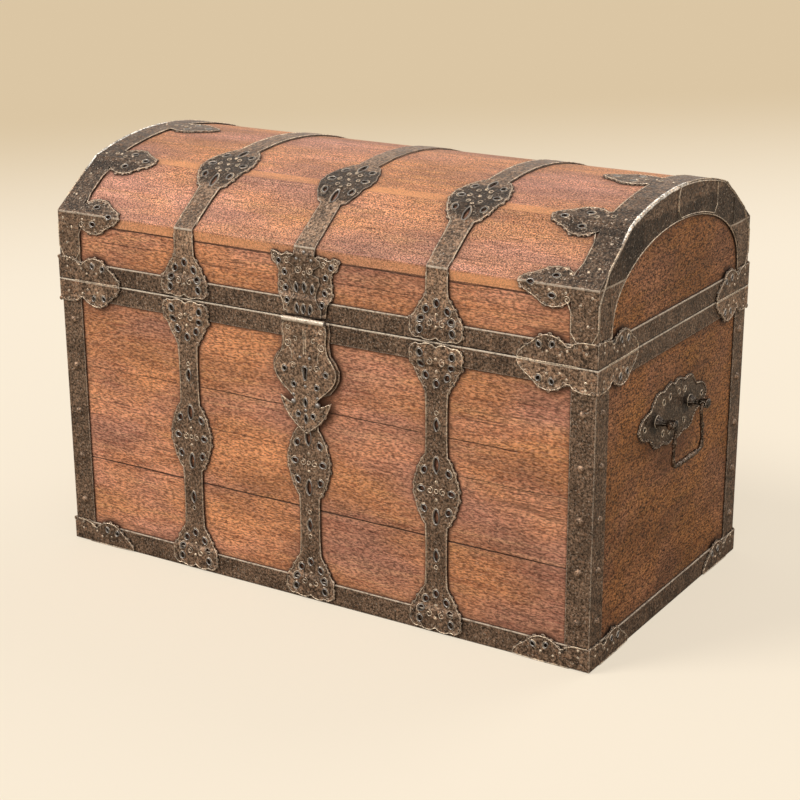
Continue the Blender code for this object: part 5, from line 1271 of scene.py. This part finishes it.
class CHEST_OT_set_stage(Operator):
    """Lay the floor and set the lights, the sky and the camera"""

    bl_idname = "chest.set_stage"
    bl_label = "Set Stage"

    # Name, direction, strength, angle in degrees and tint
    suns = (("key_sun", (-0.62, -0.66, 0.95), 1.55, 24.0, (1.0, 0.97, 0.93)),
            ("front_sun", (0.55, -0.95, 0.42), 0.50, 60.0, (1.0, 0.98, 0.95)),
            ("rim_sun", (0.25, 0.75, 0.75), 0.50, 30.0, (1.0, 0.98, 0.96)))
    sun_distance = 4
    camera_place, camera_aim = Vector((1.666, -2.636, 1.322)), Vector((-0.0019, 0.0, 0.2758))
    camera_roll, lens, sensor_width, view_distance = math.radians(-0.29), 83.0, 36.0, 200.0
    floor_size, floor_drop = 60.0, 0.0004

    def execute(self, context):
        self.lay_floor(context)
        self.hang_suns(context)
        self.wire_sky(context)
        self.place_camera(context)
        context.scene.view_settings.view_transform = "Standard"
        return {"FINISHED"}

    def lay_floor(self, context):
        """A wide plain floor just under the chest."""
        colours = context.scene.chest_colours
        deselect()
        bpy.ops.mesh.primitive_plane_add(size=self.floor_size, location=(0.0, 0.0, -self.floor_drop))
        floor = context.object
        bpy.ops.object.transform_apply(location=True, rotation=True, scale=True)
        floor.name = "floor"
        floor.data.materials.append(floor_finish(tuple(colours.floor_near), tuple(colours.floor_far)))

    def hang_suns(self, context):
        """Three soft suns."""
        for name, towards, strength, angle, tint in self.suns:
            deselect()
            bpy.ops.object.light_add(type="SUN", location=Vector(towards) * self.sun_distance)
            sun = context.object
            sun.name = name
            sun.rotation_euler = Vector(towards).to_track_quat("Z", "Y").to_euler()
            sun.data.energy = strength
            sun.data.angle = math.radians(angle)
            sun.data.color = tint

    def wire_sky(self, context):
        """A pale room for light and reflections, which the camera sees as a far wall."""
        world = bpy.data.worlds.new("pale_room")
        context.scene.world = world
        world.use_nodes = True
        sky = Wiring(world.node_tree)
        rays = sky.node("ShaderNodeLightPath").outputs
        wall = tinted(tuple(context.scene.chest_colours.floor_far), 1.24)
        seen = sky.math("MAXIMUM", rays["Is Camera Ray"], rays["Is Glossy Ray"])
        background = world.node_tree.nodes["Background"].inputs
        sky.feed(background["Color"], sky.mix(rays["Is Camera Ray"], (1.0, 0.965, 0.91, 1.0), wall))
        sky.feed(background["Strength"], sky.span(seen, 0.0, 1.0, 0.46, 0.80))

    def place_camera(self, context):
        """The camera where the photograph was taken from."""
        deselect()
        bpy.ops.object.camera_add(location=self.camera_place)
        camera = context.object
        camera.name = "camera"
        turn = (self.camera_aim - self.camera_place).to_track_quat("-Z", "Y").to_matrix()
        camera.rotation_euler = (turn @ Matrix.Rotation(self.camera_roll, 3, "Z")).to_euler()
        camera.data.sensor_width = self.sensor_width
        camera.data.lens = self.lens
        camera.data.clip_end = self.view_distance
        context.scene.camera = camera


class CHEST_PT_looks(Panel):
    """The chest's looks, piece by piece"""

    bl_idname = "CHEST_PT_looks"
    bl_label = "Treasure Chest"
    bl_space_type = "VIEW_3D"
    bl_region_type = "UI"
    bl_category = "Chest"

    def draw(self, context):
        layout = self.layout
        for group in (context.scene.chest_sizes, context.scene.chest_colours):
            box = layout.box()
            for name in group.bl_rna.properties.keys():
                if name not in ("rna_type", "name"):
                    box.prop(group, name)
        for operator in OPERATORS:
            layout.operator(operator.bl_idname)


OPERATORS = (
    CHEST_OT_finish_boards,
    CHEST_OT_finish_irons,
    CHEST_OT_add_rivets,
    CHEST_OT_add_studs,
    CHEST_OT_add_nails,
    CHEST_OT_add_rims,
    CHEST_OT_add_scrolls,
    CHEST_OT_add_corner_beads,
    CHEST_OT_make_bails,
    CHEST_OT_set_stage,
)
CLASSES = (ChestSizes, ChestColours, *OPERATORS, CHEST_PT_looks)


def register():
    """Add the classes and the chest's settings."""
    for item in CLASSES:
        bpy.utils.register_class(item)
    bpy.types.Scene.chest_sizes = PointerProperty(type=ChestSizes)
    bpy.types.Scene.chest_colours = PointerProperty(type=ChestColours)


def unregister():
    """Remove the chest's settings and the classes."""
    del bpy.types.Scene.chest_colours
    del bpy.types.Scene.chest_sizes
    for item in reversed(CLASSES):
        bpy.utils.unregister_class(item)


def main():
    """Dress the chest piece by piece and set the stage."""
    register()
    bpy.ops.chest.finish_boards()
    bpy.ops.chest.finish_irons()
    bpy.ops.chest.add_rivets()
    bpy.ops.chest.add_studs()
    bpy.ops.chest.add_nails()
    bpy.ops.chest.add_rims()
    bpy.ops.chest.add_scrolls()
    bpy.ops.chest.add_corner_beads()
    bpy.ops.chest.make_bails()
    bpy.ops.chest.set_stage()


if __name__ == "__main__":
    main()
